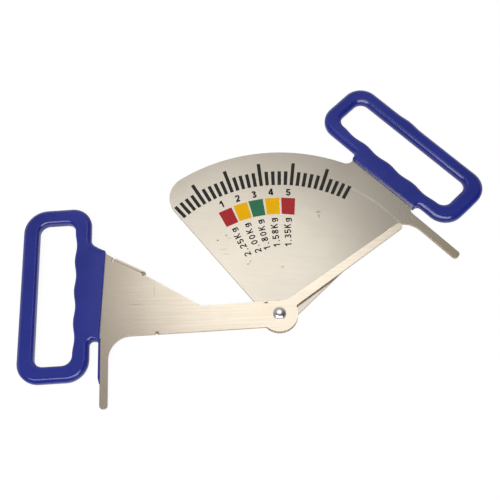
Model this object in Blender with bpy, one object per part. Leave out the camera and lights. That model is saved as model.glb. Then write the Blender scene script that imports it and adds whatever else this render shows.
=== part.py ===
"""Backfat caliper: two stainless plates turning on one pivot, each with a dip-coated grip.

Frame: the caliper lies dial up on a flat surface at z = 0. The origin is on the pivot axis at
that surface, +Z points out of the dial, +X to the right and +Y up the dial. Both plates are drawn
in a drawing frame of their own, in millimetres: the pivot at (0, 0), +Y to the middle of the grip
and +X to the side of the jaw leg. The pointer plate is then mirrored, as the two halves of a pair
of pliers are. Numbers are millimetres and degrees until a mesh is made.
"""

from math import acos, asin, atan2, ceil, cos, degrees, hypot, pi, radians, sin, sqrt, tan

import bmesh
import bpy
from mathutils import Matrix, Vector

MM = 0.001
CHORD_ERROR = 0.04          # how far a chord may leave the true arc
EDGE_BREAK = 0.25           # broken edge of the sheet parts
BREAK_ANGLE = 40            # edges sharper than this are broken
SMOOTH_ANGLE = 35           # edges blunter than this look smooth

# Heights above the surface that the caliper lies on
GRIP_THICK = 7.2            # sector grip, which lies flat on the surface
PLATE = 2.0                 # stainless sheet
FIT_GAP = 0.15              # gap between washers and what they touch
THRUST_WASHER = 0.5
SECTOR_LOW = (GRIP_THICK - PLATE) / 2
SECTOR_TOP = SECTOR_LOW + PLATE
THRUST_LOW = SECTOR_TOP + FIT_GAP
POINTER_LOW = THRUST_LOW + THRUST_WASHER + FIT_GAP
POINTER_TOP = POINTER_LOW + PLATE
SECTOR_MID = SECTOR_LOW + PLATE / 2
POINTER_MID = POINTER_LOW + PLATE / 2

# How far each half is turned in the photographed pose
SECTOR_TURN = -47.44        # turn of the sector half's drawing about +Z
POINTER_TURN = 91.51        # turn of the mirrored pointer half's drawing

# Arm, hub and jaw leg, alike on both plates
HUB_R = 12.7
ARM_FOOT = 8.65             # the arm's edge on the side of the leg
ARM_BACK = -9.3             # its other edge
LEG_NEAR = 116.8            # edge of the leg nearer the pivot
LEG_FAR = 121.9
LEG_TIP = 57.8
LEG_TIP_R = 2.3
FOOT_FILLET = 15.0
SLOT_END = 9.9              # closed end of the slot between leg and grip
SLOT_R = 3.2

# Grip, measured over its coat
GRIP_X = -25.25
GRIP_Y = 153.5
GRIP_LENGTH = 127.6
GRIP_WIDTH = 48.3
GRIP_R = 15.0
WINDOW_LENGTH = 105.3
WINDOW_WIDTH = 26.0
WINDOW_R = 6.8
FINGERS = 4
FINGER_PITCH = 22.8
FINGER_DEPTH = 1.15
FINGER_STEPS = 8
COAT_SIDE = 1.5             # coat beyond the sheet's edge, round the grip
COAT_NECK = 1.1             # the same along the neck and the slot's end
COAT_ROUND = 1.1            # rounding of the coat's edges
CORE_GAP = 0.2              # between the coat and the sheet inside it

# Sector plate
DIAL_R = 127.8
DIAL_CORNER_R = 18.0
DIAL_EDGE_ANGLE = 175.0     # direction of the dial's straight edge
DIAL_EDGE_OFFSET = 7.15     # how far that edge passes beyond the pivot
POCKET_X = -46.6            # end of the pocket between dial and grip
POCKET_R = 6.0

# Pointer plate
WEB_ANGLE = 123.6           # direction of the web's sloping edge
WEB_START = (ARM_BACK, 53.5)
WEB_FILLET = 8.0
WEB_GRIP_FILLET = 6.0
POINTER_ANGLE = 236.96      # direction of the pointer's middle line
POINTER_READING = 4.83      # reading edge, beside that line at the pivot
POINTER_BACK = -2.27        # the other edge
POINTER_TAPER = 0.0109      # how fast each edge closes on the line
POINTER_LENGTH = 109.3
POINTER_TIP_R = 2.1
POINTER_FILLET = 16.0
POINTER_NICK_R = 2.0

# Stop tab, bent down from the web
TAB_ANGLE = 119.6
TAB_OFFSET = 12.06          # outer face, beside the pivot
TAB_FROM = 98.4             # along the tab's direction
TAB_TO = 122.2
TAB_BEND_R = 1.5            # inner radius of the bend
TAB_BEND_STEPS = 6
TAB_RELIEF = 1.2            # width of the relief notch at each end
TAB_RELIEF_DEPTH = 0.6

# Edges of the two coats on the plates
SECTOR_COAT_EDGE = ((POCKET_X - COAT_NECK, 124.4), (SLOT_END + COAT_NECK, 125.6))
POINTER_COAT_EDGE = ((-53.9, 118.9), (SLOT_END + COAT_NECK, 122.4))
SECTOR_COAT_NECK_R = 4.9
POINTER_COAT_NECK_R = 6.5
COAT_SLOT_R = 2.4

# Thin run of coat along the far edge of the pointer half's leg
RUN_TO = 41.0
RUN_TAPER = 4.0
RUN_TIP = 0.4
RUN_THICK = 1.3
RUN_HEIGHT = 2.0
RUN_FILLET = 2.3
RUN_TOP = 126.5
RUN_OVERLAP = 0.05          # how far it reaches into the coat that it joins

# Pivot
POST_R = 3.0
POST_HOLE_R = 3.1
HEAD_R = 4.45
HEAD_H = 2.6
HEAD_RIM = 0.5              # straight side under the dome
HEAD_STEPS = 7
TAIL_R = 2.2
TAIL_FLARE_R = 2.9
TAIL_FLARE_H = 0.7
TURNED_SIDES = 48
THRUST_R = 10.5
REAR_WASHER_R = 5.5
REAR_WASHER_LOW = 0.1
REAR_WASHER_TOP = 1.5
SPRING_R = 5.5
SPRING_BORE_R = 3.3
SPRING_SHEET = 0.35
SPRING_WAVES = 3
SPRING_LOW = REAR_WASHER_TOP + FIT_GAP
SPRING_TOP = SECTOR_LOW - FIT_GAP

STAINLESS = ("stainless_sheet", (0.72, 0.68, 0.60), 0.38, 1.0)
POLISHED = ("polished_stainless", (0.80, 0.80, 0.82), 0.12, 1.0)
SPRING_STEEL = ("spring_steel", (0.55, 0.55, 0.56), 0.30, 1.0)
COAT = ("blue_dip_coat", (0.030, 0.043, 0.240), 0.32, 0.0)
NYLON = ("white_nylon", (0.80, 0.79, 0.75), 0.50, 0.0)


def clear_scene():
    for thing in list(bpy.data.objects):
        bpy.data.objects.remove(thing, do_unlink=True)


def material(spec):
    """Return the material that a (name, colour, roughness, metallic) record describes."""
    name, colour, roughness, metallic = spec
    made = bpy.data.materials.get(name)
    if made is None:
        made = bpy.data.materials.new(name)
        made.use_nodes = True
        shader = made.node_tree.nodes["Principled BSDF"]
        shader.inputs["Base Color"].default_value = (*colour, 1.0)
        shader.inputs["Roughness"].default_value = roughness
        shader.inputs["Metallic"].default_value = metallic
    return made


def half_frame(name, turn):
    """Return the empty on the pivot axis that carries one half of the caliper."""
    empty = bpy.data.objects.new(name, None)
    empty.rotation_euler = (0.0, 0.0, radians(turn))
    bpy.context.collection.objects.link(empty)
    return empty


def add_object(name, bm, spec, parent=None):
    """Turn a mesh drawn in millimetres into a named object with a material."""
    bmesh.ops.scale(bm, vec=(MM, MM, MM), verts=bm.verts)
    bmesh.ops.recalc_face_normals(bm, faces=bm.faces)
    mesh = bpy.data.meshes.new(name)
    bm.to_mesh(mesh)
    bm.free()
    mesh.materials.append(material(spec))
    mesh.shade_smooth()
    mesh.set_sharp_from_angle(angle=radians(SMOOTH_ANGLE))
    made = bpy.data.objects.new(name, mesh)
    made.parent = parent
    bpy.context.collection.objects.link(made)
    return made


def soften_edges(made):
    """Break the sharp edges of a sheet part, as tumbling does."""
    bevel = made.modifiers.new("broken_edges", "BEVEL")
    bevel.width = EDGE_BREAK * MM
    bevel.segments = 1
    bevel.limit_method = "ANGLE"
    bevel.angle_limit = radians(BREAK_ANGLE)


def arc(centre, radius, start, end):
    """Points along an arc from one angle to another, both ends included."""
    step = 2 * degrees(acos(1 - CHORD_ERROR / radius))
    count = max(2, ceil(abs(end - start) / step))
    points = []
    for i in range(count + 1):
        angle = radians(start + (end - start) * i / count)
        points.append((centre[0] + radius * cos(angle), centre[1] + radius * sin(angle)))
    return points


def round_corner(before, corner, after, radius):
    """Points that round one corner of an outline."""
    if radius == 0:
        return [corner]
    to_before = (Vector(before) - Vector(corner)).normalized()
    to_after = (Vector(after) - Vector(corner)).normalized()
    half = to_before.angle(to_after) / 2
    centre = Vector(corner) + (to_before + to_after).normalized() * radius / sin(half)
    first = Vector(corner) + to_before * radius / tan(half) - centre
    last = Vector(corner) + to_after * radius / tan(half) - centre
    start = degrees(atan2(first.y, first.x))
    sweep = degrees(atan2(first.x * last.y - first.y * last.x, first.dot(last)))
    return arc(tuple(centre), radius, start, start + sweep)


def rounded(corners, closed=False):
    """Points of a run of (x, y, radius) corners; the ends of an open run stay sharp."""
    points = []
    last = len(corners) - 1
    for i, (x, y, radius) in enumerate(corners):
        if not closed and i in (0, last):
            points.append((x, y))
            continue
        before = corners[i - 1][:2]
        after = corners[(i + 1) % len(corners)][:2]
        points += round_corner(before, (x, y), after, radius)
    return points


def along(direction, distance, aside=0.0):
    """Point at a distance along a direction from the pivot, moved aside to its right."""
    angle = radians(direction)
    return (distance * cos(angle) + aside * sin(angle), distance * sin(angle) - aside * cos(angle))


def meet(start, direction, other, other_direction):
    """Point where two lines cross, each given by a point and a direction."""
    ax, ay = cos(radians(direction)), sin(radians(direction))
    bx, by = cos(radians(other_direction)), sin(radians(other_direction))
    reach = ((other[0] - start[0]) * by - (other[1] - start[1]) * bx) / (ax * by - ay * bx)
    return (start[0] + reach * ax, start[1] + reach * ay)


def loop_box(length, width, inset):
    """Lowest and highest corner of the grip's outline or window, moved inwards by inset."""
    low = (GRIP_X - length / 2 + inset, GRIP_Y - width / 2 + inset)
    high = (GRIP_X + length / 2 - inset, GRIP_Y + width / 2 - inset)
    return low, high


def window_outline(inset):
    """The grip's window, its near side waved for four fingers, moved inwards by inset."""
    low, high = loop_box(WINDOW_LENGTH, WINDOW_WIDTH, inset)
    radius = WINDOW_R - inset
    points = round_corner((high[0], low[1]), high, (low[0], high[1]), radius)
    points += round_corner(high, (low[0], high[1]), low, radius)
    points += round_corner((low[0], high[1]), low, (high[0], low[1]), radius)
    span = FINGERS * FINGER_PITCH
    steps = FINGERS * FINGER_STEPS
    for i in range(1, steps):
        x = GRIP_X - span / 2 + span * i / steps
        hollow = (1 - cos(2 * pi * FINGERS * i / steps)) / 2
        points.append((x, low[1] - FINGER_DEPTH * hollow))
    points += round_corner(low, (high[0], low[1]), high, radius)
    return points


def foot_and_grip_corners(inset):
    """Corners from the hub up the arm, round the leg, the slot and the bare grip loop."""
    low, high = loop_box(GRIP_LENGTH, GRIP_WIDTH, inset)
    radius = GRIP_R - inset
    hub_y = sqrt(HUB_R ** 2 - ARM_FOOT ** 2)
    return [
        (ARM_FOOT, hub_y, 0.0),
        (ARM_FOOT, LEG_NEAR, FOOT_FILLET),
        (LEG_TIP, LEG_NEAR, LEG_TIP_R),
        (LEG_TIP, LEG_FAR, LEG_TIP_R),
        (SLOT_END, LEG_FAR, SLOT_R),
        (SLOT_END, low[1], SLOT_R),
        (high[0], low[1], radius),
        (high[0], high[1], radius),
        (low[0], high[1], radius),
        (low[0], low[1], radius),
    ]


def sector_outline():
    """Outline of the sector plate, with the dial fan."""
    corners = foot_and_grip_corners(COAT_SIDE)
    near_y = corners[-1][1]
    pocket_x = POCKET_X - POCKET_R
    pocket_y = sqrt((DIAL_R + POCKET_R) ** 2 - pocket_x ** 2)
    points = rounded(corners + [(POCKET_X, near_y, POCKET_R), (POCKET_X, pocket_y, 0.0)])
    to_pivot = degrees(atan2(-pocket_y, -pocket_x))
    points += arc((pocket_x, pocket_y), POCKET_R, 0.0, to_pivot)[1:]
    reach = sqrt((DIAL_R - DIAL_CORNER_R) ** 2 - (DIAL_CORNER_R - DIAL_EDGE_OFFSET) ** 2)
    centre = along(DIAL_EDGE_ANGLE, reach, DIAL_CORNER_R - DIAL_EDGE_OFFSET)
    corner_start = degrees(atan2(centre[1], centre[0]))
    points += arc((0, 0), DIAL_R, 180.0 + to_pivot, corner_start)[1:]
    points += arc(centre, DIAL_CORNER_R, corner_start, DIAL_EDGE_ANGLE + 90)[1:]
    hub_start = DIAL_EDGE_ANGLE + degrees(asin(DIAL_EDGE_OFFSET / HUB_R))
    hub_end = 360 + degrees(acos(ARM_FOOT / HUB_R))
    points += arc((0, 0), HUB_R, hub_start, hub_end)[:-1]
    return points


def tab_root_corners():
    """Corners where the stop tab leaves the web, with a relief notch at each end."""
    root = TAB_OFFSET + TAB_BEND_R + PLATE
    across = TAB_ANGLE - 90
    bottom = root + TAB_RELIEF_DEPTH
    outer = TAB_TO + TAB_RELIEF
    inner = TAB_FROM - TAB_RELIEF
    return [
        (*meet(WEB_START, WEB_ANGLE, along(TAB_ANGLE, outer), across), 0.0),
        (*along(TAB_ANGLE, outer, bottom), 0.0),
        (*along(TAB_ANGLE, TAB_TO, bottom), 0.0),
        (*along(TAB_ANGLE, TAB_TO, root), 0.0),
        (*along(TAB_ANGLE, TAB_FROM, root), 0.0),
        (*along(TAB_ANGLE, TAB_FROM, bottom), 0.0),
        (*along(TAB_ANGLE, inner, bottom), 0.0),
        (*meet(WEB_START, WEB_ANGLE, along(TAB_ANGLE, inner), across), 0.0),
    ]


def pointer_edge(offset, closing, distance):
    """Point on one edge of the pointer, at a distance from the pivot along its middle line."""
    return along(POINTER_ANGLE, distance, offset - closing * distance)


def pointer_outline():
    """Outline of the pointer plate, with the web, the arm, the hub and the pointer."""
    corners = foot_and_grip_corners(COAT_SIDE)
    near_y = corners[-1][1]
    web_top = meet(WEB_START, WEB_ANGLE, (0.0, near_y), 0.0)
    reading_angle = POINTER_ANGLE + degrees(atan2(POINTER_TAPER, 1.0))
    reading_start = pointer_edge(POINTER_READING, POINTER_TAPER, 0.0)
    arm_end = meet((ARM_BACK, 0.0), 90.0, reading_start, reading_angle)
    corners += [(*web_top, WEB_GRIP_FILLET)] + tab_root_corners()
    corners += [
        (*WEB_START, WEB_FILLET),
        (*arm_end, POINTER_FILLET),
        (*pointer_edge(POINTER_READING, POINTER_TAPER, POINTER_LENGTH), POINTER_TIP_R),
        (*pointer_edge(POINTER_BACK, -POINTER_TAPER, POINTER_LENGTH), POINTER_TIP_R),
    ]
    hub_meet = sqrt(HUB_R ** 2 - POINTER_BACK ** 2)
    hub_corner = pointer_edge(POINTER_BACK, -POINTER_TAPER, hub_meet)
    hub_angle = degrees(atan2(hub_corner[1], hub_corner[0])) + 360
    past = hub_angle + degrees(POINTER_NICK_R / HUB_R)
    on_hub = (HUB_R * cos(radians(past)), HUB_R * sin(radians(past)))
    points = rounded(corners + [(*hub_corner, POINTER_NICK_R), (*on_hub, 0.0)])
    hub_end = 360 + degrees(acos(ARM_FOOT / HUB_R))
    return points + arc((0, 0), HUB_R, past, hub_end)[1:-1]


def sheet(outlines, low, high, side=1):
    """A flat plate between two heights: the first outline, less the others as holes."""
    bm = bmesh.new()
    for outline in outlines:
        verts = [bm.verts.new((side * x, y, low)) for x, y in outline]
        for first, second in zip(verts, verts[1:] + verts[:1]):
            bm.edges.new((first, second))
    bmesh.ops.triangle_fill(bm, use_beauty=True, edges=bm.edges)
    raised = bmesh.ops.extrude_face_region(bm, geom=bm.faces[:])
    moved = [v for v in raised["geom"] if isinstance(v, bmesh.types.BMVert)]
    bmesh.ops.translate(bm, verts=moved, vec=(0.0, 0.0, high - low))
    bmesh.ops.recalc_face_normals(bm, faces=bm.faces)
    return bm


def drop_tab(bm, side):
    """Bend the stop tab down from its root and run it to the surface below."""
    root = TAB_OFFSET + TAB_BEND_R + PLATE
    middle = along(TAB_ANGLE, (TAB_FROM + TAB_TO) / 2, root)
    target = Vector((side * middle[0], middle[1], POINTER_MID))
    face = min(bm.faces, key=lambda f: (f.calc_center_median() - target).length)
    ends = [along(TAB_ANGLE, TAB_FROM, root), along(TAB_ANGLE, TAB_TO, root)]
    first, second = (Vector((side * x, y, POINTER_LOW - TAB_BEND_R)) for x, y in ends)
    axis = (second - first).normalized()
    if axis.cross(face.normal).z > 0:
        axis.negate()
    turn = Matrix.Rotation(radians(90 / TAB_BEND_STEPS), 3, axis)
    drop = Vector((0.0, 0.0, -(POINTER_LOW - TAB_BEND_R)))
    for step in range(TAB_BEND_STEPS + 1):
        face = bmesh.ops.extrude_discrete_faces(bm, faces=[face])["faces"][0]
        if step < TAB_BEND_STEPS:
            bmesh.ops.rotate(bm, verts=face.verts, cent=first, matrix=turn)
        else:
            bmesh.ops.translate(bm, verts=face.verts, vec=drop)


def coat_outline(edge, neck_angle, neck_r):
    """Outline of a coat: its edge on the plate, the neck, the grip and the slot's end."""
    far_end, slot_end = edge
    low, high = loop_box(GRIP_LENGTH, GRIP_WIDTH, 0.0)
    neck = meet(far_end, neck_angle, low, 0.0)
    corners = [
        (*slot_end, 0.0),
        (slot_end[0], low[1], COAT_SLOT_R),
        (high[0], low[1], GRIP_R),
        (high[0], high[1], GRIP_R),
        (low[0], high[1], GRIP_R),
        (low[0], low[1], GRIP_R),
        (*neck, neck_r),
        (*far_end, 0.0),
    ]
    return rounded(corners)


def moved_inwards(points, distance):
    """Move each point of a closed outline into the material, corners mitred."""
    moved = []
    for i, point in enumerate(points):
        here = Vector(point)
        before = (here - Vector(points[i - 1])).normalized()
        after = (Vector(points[(i + 1) % len(points)]) - here).normalized()
        inward = Vector((-before.y - after.y, before.x + after.x)).normalized()
        share = inward.dot(Vector((-before.y, before.x)))
        moved.append(tuple(here + inward * distance / share))
    return moved


def coat_body(outline, window, middle, side):
    """The coat as one rounded solid, before the sheet's place is cut out of it."""
    half = GRIP_THICK / 2
    levels = []
    for tilt in (0, 45, 90):
        inset = COAT_ROUND * (1 - sin(radians(tilt)))
        levels.append((inset, half - COAT_ROUND * (1 - cos(radians(tilt)))))
    levels = levels + [(inset, -height) for inset, height in reversed(levels)]
    bm = bmesh.new()
    rims = []
    for points in (outline, window):
        rings = []
        for inset, height in levels:
            ring = moved_inwards(points, inset)
            rings.append([bm.verts.new((side * x, y, middle + height)) for x, y in ring])
        for upper, lower in zip(rings, rings[1:]):
            for i in range(len(upper)):
                j = (i + 1) % len(upper)
                bm.faces.new((upper[i], upper[j], lower[j], lower[i]))
        rims.append((rings[0], rings[-1]))
    for outer, inner in zip(rims[0], rims[1]):
        edges = []
        for ring in (outer, inner):
            edges += [bm.edges.get((a, b)) for a, b in zip(ring, ring[1:] + ring[:1])]
        bmesh.ops.triangle_fill(bm, use_beauty=True, edges=edges)
    return bm


def cutter(name, bm, parent):
    """A hidden object that a Boolean uses."""
    made = add_object(name, bm, COAT, parent)
    made.hide_render = True
    made.display_type = "WIRE"
    return made


def add_boolean(made, operation, tool):
    change = made.modifiers.new(operation.lower(), "BOOLEAN")
    change.operation = operation
    change.solver = "EXACT"
    change.object = tool


def core_outlines(outline):
    """The plate's outline and window, grown by the gap that keeps coat and sheet apart."""
    window = window_outline(-COAT_SIDE)
    return [moved_inwards(outline, -CORE_GAP), moved_inwards(window[::-1], -CORE_GAP)]


def make_grip(name, outline, plate_outline, middle, side, parent, run=None):
    """A dip-coated grip, hollow where the plate's loop runs inside it."""
    body = coat_body(outline, window_outline(0.0)[::-1], middle, side)
    grip = add_object(name, body, COAT, parent)
    if run is not None:
        add_boolean(grip, "UNION", cutter(name + "_run", run, parent))
    low = middle - PLATE / 2 - CORE_GAP
    core = sheet(core_outlines(plate_outline), low, low + PLATE + 2 * CORE_GAP, side)
    add_boolean(grip, "DIFFERENCE", cutter(name + "_core", core, parent))


def leg_run(side):
    """The thin run of coat that follows the leg's far edge and tapers away."""
    inside = SLOT_END - CORE_GAP
    wall = SLOT_END + COAT_NECK - RUN_OVERLAP
    low = LEG_FAR - CORE_GAP
    outline = rounded([
        (wall, RUN_TOP, 0.0),
        (inside, RUN_TOP, 0.0),
        (inside, low, 0.0),
        (RUN_TO, low, 0.0),
        (RUN_TO, LEG_FAR + RUN_TIP, 0.0),
        (RUN_TO - RUN_TAPER, LEG_FAR + RUN_THICK, 0.0),
        (wall, LEG_FAR + RUN_THICK, RUN_FILLET),
    ], closed=True)
    half = RUN_HEIGHT / 2
    return sheet([outline], POINTER_MID - half, POINTER_MID + half, side)


def turned(profile, name, spec):
    """A round part from a closed profile of (radius, height) points."""
    bm = bmesh.new()
    rings = []
    for radius, height in profile:
        if radius == 0:
            rings.append([bm.verts.new((0.0, 0.0, height))] * TURNED_SIDES)
            continue
        ring = []
        for i in range(TURNED_SIDES):
            angle = 2 * pi * i / TURNED_SIDES
            ring.append(bm.verts.new((radius * cos(angle), radius * sin(angle), height)))
        rings.append(ring)
    on_axis = profile[0][0] == 0
    pairs = list(zip(rings, rings[1:])) if on_axis else list(zip(rings, rings[1:] + rings[:1]))
    for first, second in pairs:
        for i in range(TURNED_SIDES):
            j = (i + 1) % TURNED_SIDES
            corners = [first[i], first[j], second[j], second[i]]
            bm.faces.new(list(dict.fromkeys(corners)))
    return add_object(name, bm, spec)


def pivot_post():
    """Domed post through both plates, its lower end flared into the rear washer."""
    seat = POINTER_TOP + FIT_GAP
    dome = HEAD_H - HEAD_RIM
    profile = [(0.0, seat + HEAD_H)]
    for i in range(1, HEAD_STEPS + 1):
        angle = pi / 2 * i / HEAD_STEPS
        profile.append((HEAD_R * sin(angle), seat + HEAD_RIM + dome * cos(angle)))
    shoulder = REAR_WASHER_TOP + FIT_GAP
    profile += [
        (HEAD_R, seat),
        (POST_R, seat),
        (POST_R, shoulder),
        (TAIL_R, shoulder),
        (TAIL_R, TAIL_FLARE_H),
        (TAIL_FLARE_R, 0.0),
        (0.0, 0.0),
    ]
    return turned(profile, "pivot_post", POLISHED)


def thrust_washer():
    top = THRUST_LOW + THRUST_WASHER
    profile = [(POST_HOLE_R, THRUST_LOW), (POST_HOLE_R, top), (THRUST_R, top), (THRUST_R, THRUST_LOW)]
    return turned(profile, "thrust_washer", NYLON)


def rear_washer():
    """Washer that the post's end is flared into, its bore widened to match."""
    bore = TAIL_R + FIT_GAP
    flare = TAIL_FLARE_R + FIT_GAP
    profile = [
        (bore, REAR_WASHER_TOP),
        (REAR_WASHER_R, REAR_WASHER_TOP),
        (REAR_WASHER_R, REAR_WASHER_LOW),
        (flare, REAR_WASHER_LOW),
        (bore, TAIL_FLARE_H),
    ]
    return turned(profile, "rear_washer", STAINLESS)


def spring_washer():
    """Wave washer that keeps the turning stiff: a flat ring that rises and falls."""
    swing = (SPRING_TOP - SPRING_LOW - SPRING_SHEET) / 2
    bm = bmesh.new()
    rings = []
    for radius, lift in ((SPRING_BORE_R, 0), (SPRING_R, 0), (SPRING_R, 1), (SPRING_BORE_R, 1)):
        ring = []
        for i in range(TURNED_SIDES):
            angle = 2 * pi * i / TURNED_SIDES
            wave = swing * (1 + sin(SPRING_WAVES * angle))
            height = SPRING_LOW + wave + SPRING_SHEET * lift
            ring.append(bm.verts.new((radius * cos(angle), radius * sin(angle), height)))
        rings.append(ring)
    for first, second in zip(rings, rings[1:] + rings[:1]):
        for i in range(TURNED_SIDES):
            j = (i + 1) % TURNED_SIDES
            bm.faces.new((first[i], first[j], second[j], second[i]))
    return add_object("spring_washer", bm, SPRING_STEEL)


def make_sector_half():
    """Sector plate with the dial, and its grip."""
    frame = half_frame("sector_half", SECTOR_TURN)
    outline = sector_outline()
    holes = [window_outline(-COAT_SIDE), arc((0, 0), POST_HOLE_R, 0, 360)[:-1]]
    bm = sheet([outline] + holes, SECTOR_LOW, SECTOR_TOP)
    soften_edges(add_object("sector_plate", bm, STAINLESS, frame))
    coat = coat_outline(SECTOR_COAT_EDGE, 90.0, SECTOR_COAT_NECK_R)
    make_grip("sector_grip", coat, outline, SECTOR_MID, 1, frame)


def make_pointer_half():
    """Pointer plate with its stop tab, and its grip with the run of coat down the leg."""
    frame = half_frame("pointer_half", POINTER_TURN)
    outline = pointer_outline()
    holes = [window_outline(-COAT_SIDE), arc((0, 0), POST_HOLE_R, 0, 360)[:-1]]
    bm = sheet([outline] + holes, POINTER_LOW, POINTER_TOP, side=-1)
    drop_tab(bm, side=-1)
    soften_edges(add_object("pointer_plate", bm, STAINLESS, frame))
    coat = coat_outline(POINTER_COAT_EDGE, WEB_ANGLE, POINTER_COAT_NECK_R)
    make_grip("pointer_grip", coat, outline, POINTER_MID, -1, frame, leg_run(-1))


def main():
    clear_scene()
    make_sector_half()
    make_pointer_half()
    pivot_post()
    thrust_washer()
    spring_washer()
    rear_washer()


main()
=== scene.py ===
"""Looks of the backfat caliper: plates, coats, dial print and pivot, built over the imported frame.

Drawings are in millimetres in the half frame that both plates share: the pivot at (0, 0), +Y to
the middle of the grip and +X to the side of the jaw leg. Meshes are in metres in the row frame.
"""

import logging
from dataclasses import dataclass
from enum import Enum
from math import acos, asin, atan2, ceil, cos, degrees, exp, pi, radians, sin, sqrt, tan

import bmesh
import bpy
from mathutils import Matrix, Vector


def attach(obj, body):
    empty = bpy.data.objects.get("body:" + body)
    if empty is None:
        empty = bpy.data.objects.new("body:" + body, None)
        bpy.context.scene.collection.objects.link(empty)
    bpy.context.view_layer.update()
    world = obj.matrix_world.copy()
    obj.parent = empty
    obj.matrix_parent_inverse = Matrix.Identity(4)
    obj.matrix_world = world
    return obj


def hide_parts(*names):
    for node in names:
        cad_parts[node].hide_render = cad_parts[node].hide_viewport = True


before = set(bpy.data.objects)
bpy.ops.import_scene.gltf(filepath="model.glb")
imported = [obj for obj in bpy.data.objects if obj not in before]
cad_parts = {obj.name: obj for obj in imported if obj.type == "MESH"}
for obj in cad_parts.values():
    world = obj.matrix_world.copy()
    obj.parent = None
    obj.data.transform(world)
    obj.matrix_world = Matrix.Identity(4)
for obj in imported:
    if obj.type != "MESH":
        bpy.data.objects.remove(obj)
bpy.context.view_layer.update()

logging.basicConfig(level=logging.INFO, format="%(message)s")
log = logging.getLogger("caliper")

MM = 0.001
SHEET = 2.0
SENSOR = 36.0
WHITE = (1.0, 1.0, 1.0, 1.0)
ROW = Matrix.Scale(MM, 4)
Point = tuple[float, float]
Corner = tuple[float, float, float]
Outline = list[Point]
Colour = tuple[float, float, float]


class Half(Enum):
    """The two halves of the caliper: body, turn of the drawing, mirror sign and low side."""

    SECTOR = ("sector_half", -47.44, 1, 2.6)
    POINTER = ("pointer_half", 91.51, -1, 5.4)

    @property
    def body(self) -> str:
        """Name of the body in the frame."""
        return self.value[0]

    @property
    def placing(self) -> Matrix:
        """Matrix from the half's drawing, in millimetres, to the row frame, in metres.

        Returns:
            The matrix.
        """
        turn = Matrix.Rotation(radians(self.value[1]), 4, "Z")
        mirror = Matrix.Diagonal((self.value[2] * MM, MM, MM, 1.0))
        return turn @ mirror

    @property
    def low(self) -> float:
        """Height of the sheet's underside, in millimetres."""
        return self.value[3]

    @property
    def middle(self) -> float:
        """Height of the sheet's middle, in millimetres."""
        return self.low + SHEET / 2


# Drawing


def arc(centre: Point, radius: float, start: float, end: float, error: float = 0.012) -> Outline:
    """Points along an arc, both ends included.

    Args:
        centre: Centre of the arc.
        radius: Its radius.
        start: Angle of the first point, in degrees.
        end: Angle of the last point, in degrees.
        error: How far a chord may leave the arc.

    Returns:
        The points in order.
    """
    step = 2 * degrees(acos(1 - error / radius))
    count = max(3, ceil(abs(end - start) / step))
    angles = [radians(start + (end - start) * i / count) for i in range(count + 1)]
    return [(centre[0] + radius * cos(a), centre[1] + radius * sin(a)) for a in angles]


def round_corner(before: Point, corner: Point, after: Point, radius: float) -> Outline:
    """Round one corner of an outline.

    Args:
        before: The point before the corner.
        corner: The corner.
        after: The point after it.
        radius: Radius of the rounding, or 0 for a sharp corner.

    Returns:
        The points that replace the corner.
    """
    if radius == 0:
        return [corner]
    to_before = (Vector(before) - Vector(corner)).normalized()
    to_after = (Vector(after) - Vector(corner)).normalized()
    half = to_before.angle(to_after) / 2
    centre = Vector(corner) + (to_before + to_after).normalized() * radius / sin(half)
    first = Vector(corner) + to_before * radius / tan(half) - centre
    last = Vector(corner) + to_after * radius / tan(half) - centre
    start = degrees(atan2(first.y, first.x))
    sweep = degrees(atan2(first.x * last.y - first.y * last.x, first.dot(last)))
    return arc(tuple(centre), radius, start, start + sweep)


def rounded(corners: list[Corner], closed: bool = False) -> Outline:
    """Round a run of corners.

    Args:
        corners: (x, y, radius) corners.
        closed: Whether the run closes on itself; the ends of an open run stay sharp.

    Returns:
        The rounded outline.
    """
    points: Outline = []
    last = len(corners) - 1
    for i, (x, y, radius) in enumerate(corners):
        if not closed and i in (0, last):
            points.append((x, y))
            continue
        after = corners[(i + 1) % len(corners)][:2]
        points += round_corner(corners[i - 1][:2], (x, y), after, radius)
    return points


def along(direction: float, distance: float, aside: float = 0.0) -> Point:
    """Point at a distance along a direction from the pivot.

    Args:
        direction: Direction in degrees.
        distance: Distance along it.
        aside: Distance to its right.

    Returns:
        The point.
    """
    a = radians(direction)
    return (distance * cos(a) + aside * sin(a), distance * sin(a) - aside * cos(a))


def meet(start: Point, direction: float, other: Point, other_direction: float) -> Point:
    """Crossing of two lines.

    Args:
        start: A point of the first line.
        direction: Its direction, in degrees.
        other: A point of the second line.
        other_direction: Its direction, in degrees.

    Returns:
        The point where they cross.
    """
    ax, ay = cos(radians(direction)), sin(radians(direction))
    bx, by = cos(radians(other_direction)), sin(radians(other_direction))
    reach = ((other[0] - start[0]) * by - (other[1] - start[1]) * bx) / (ax * by - ay * bx)
    return (start[0] + reach * ax, start[1] + reach * ay)


def moved_inwards(points: Outline, distances: list[float]) -> Outline:
    """Offset a closed outline to its left, corners mitred.

    Args:
        points: The outline, with the material on its left.
        distances: How far each point moves into the material.

    Returns:
        The moved outline, with as many points.
    """
    moved: Outline = []
    for i, point in enumerate(points):
        here = Vector(point)
        before = (here - Vector(points[i - 1])).normalized()
        after = (Vector(points[(i + 1) % len(points)]) - here).normalized()
        inward = Vector((-before.y - after.y, before.x + after.x)).normalized()
        share = inward.dot(Vector((-before.y, before.x)))
        moved.append(tuple(here + inward * distances[i] / share))
    return moved


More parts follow.
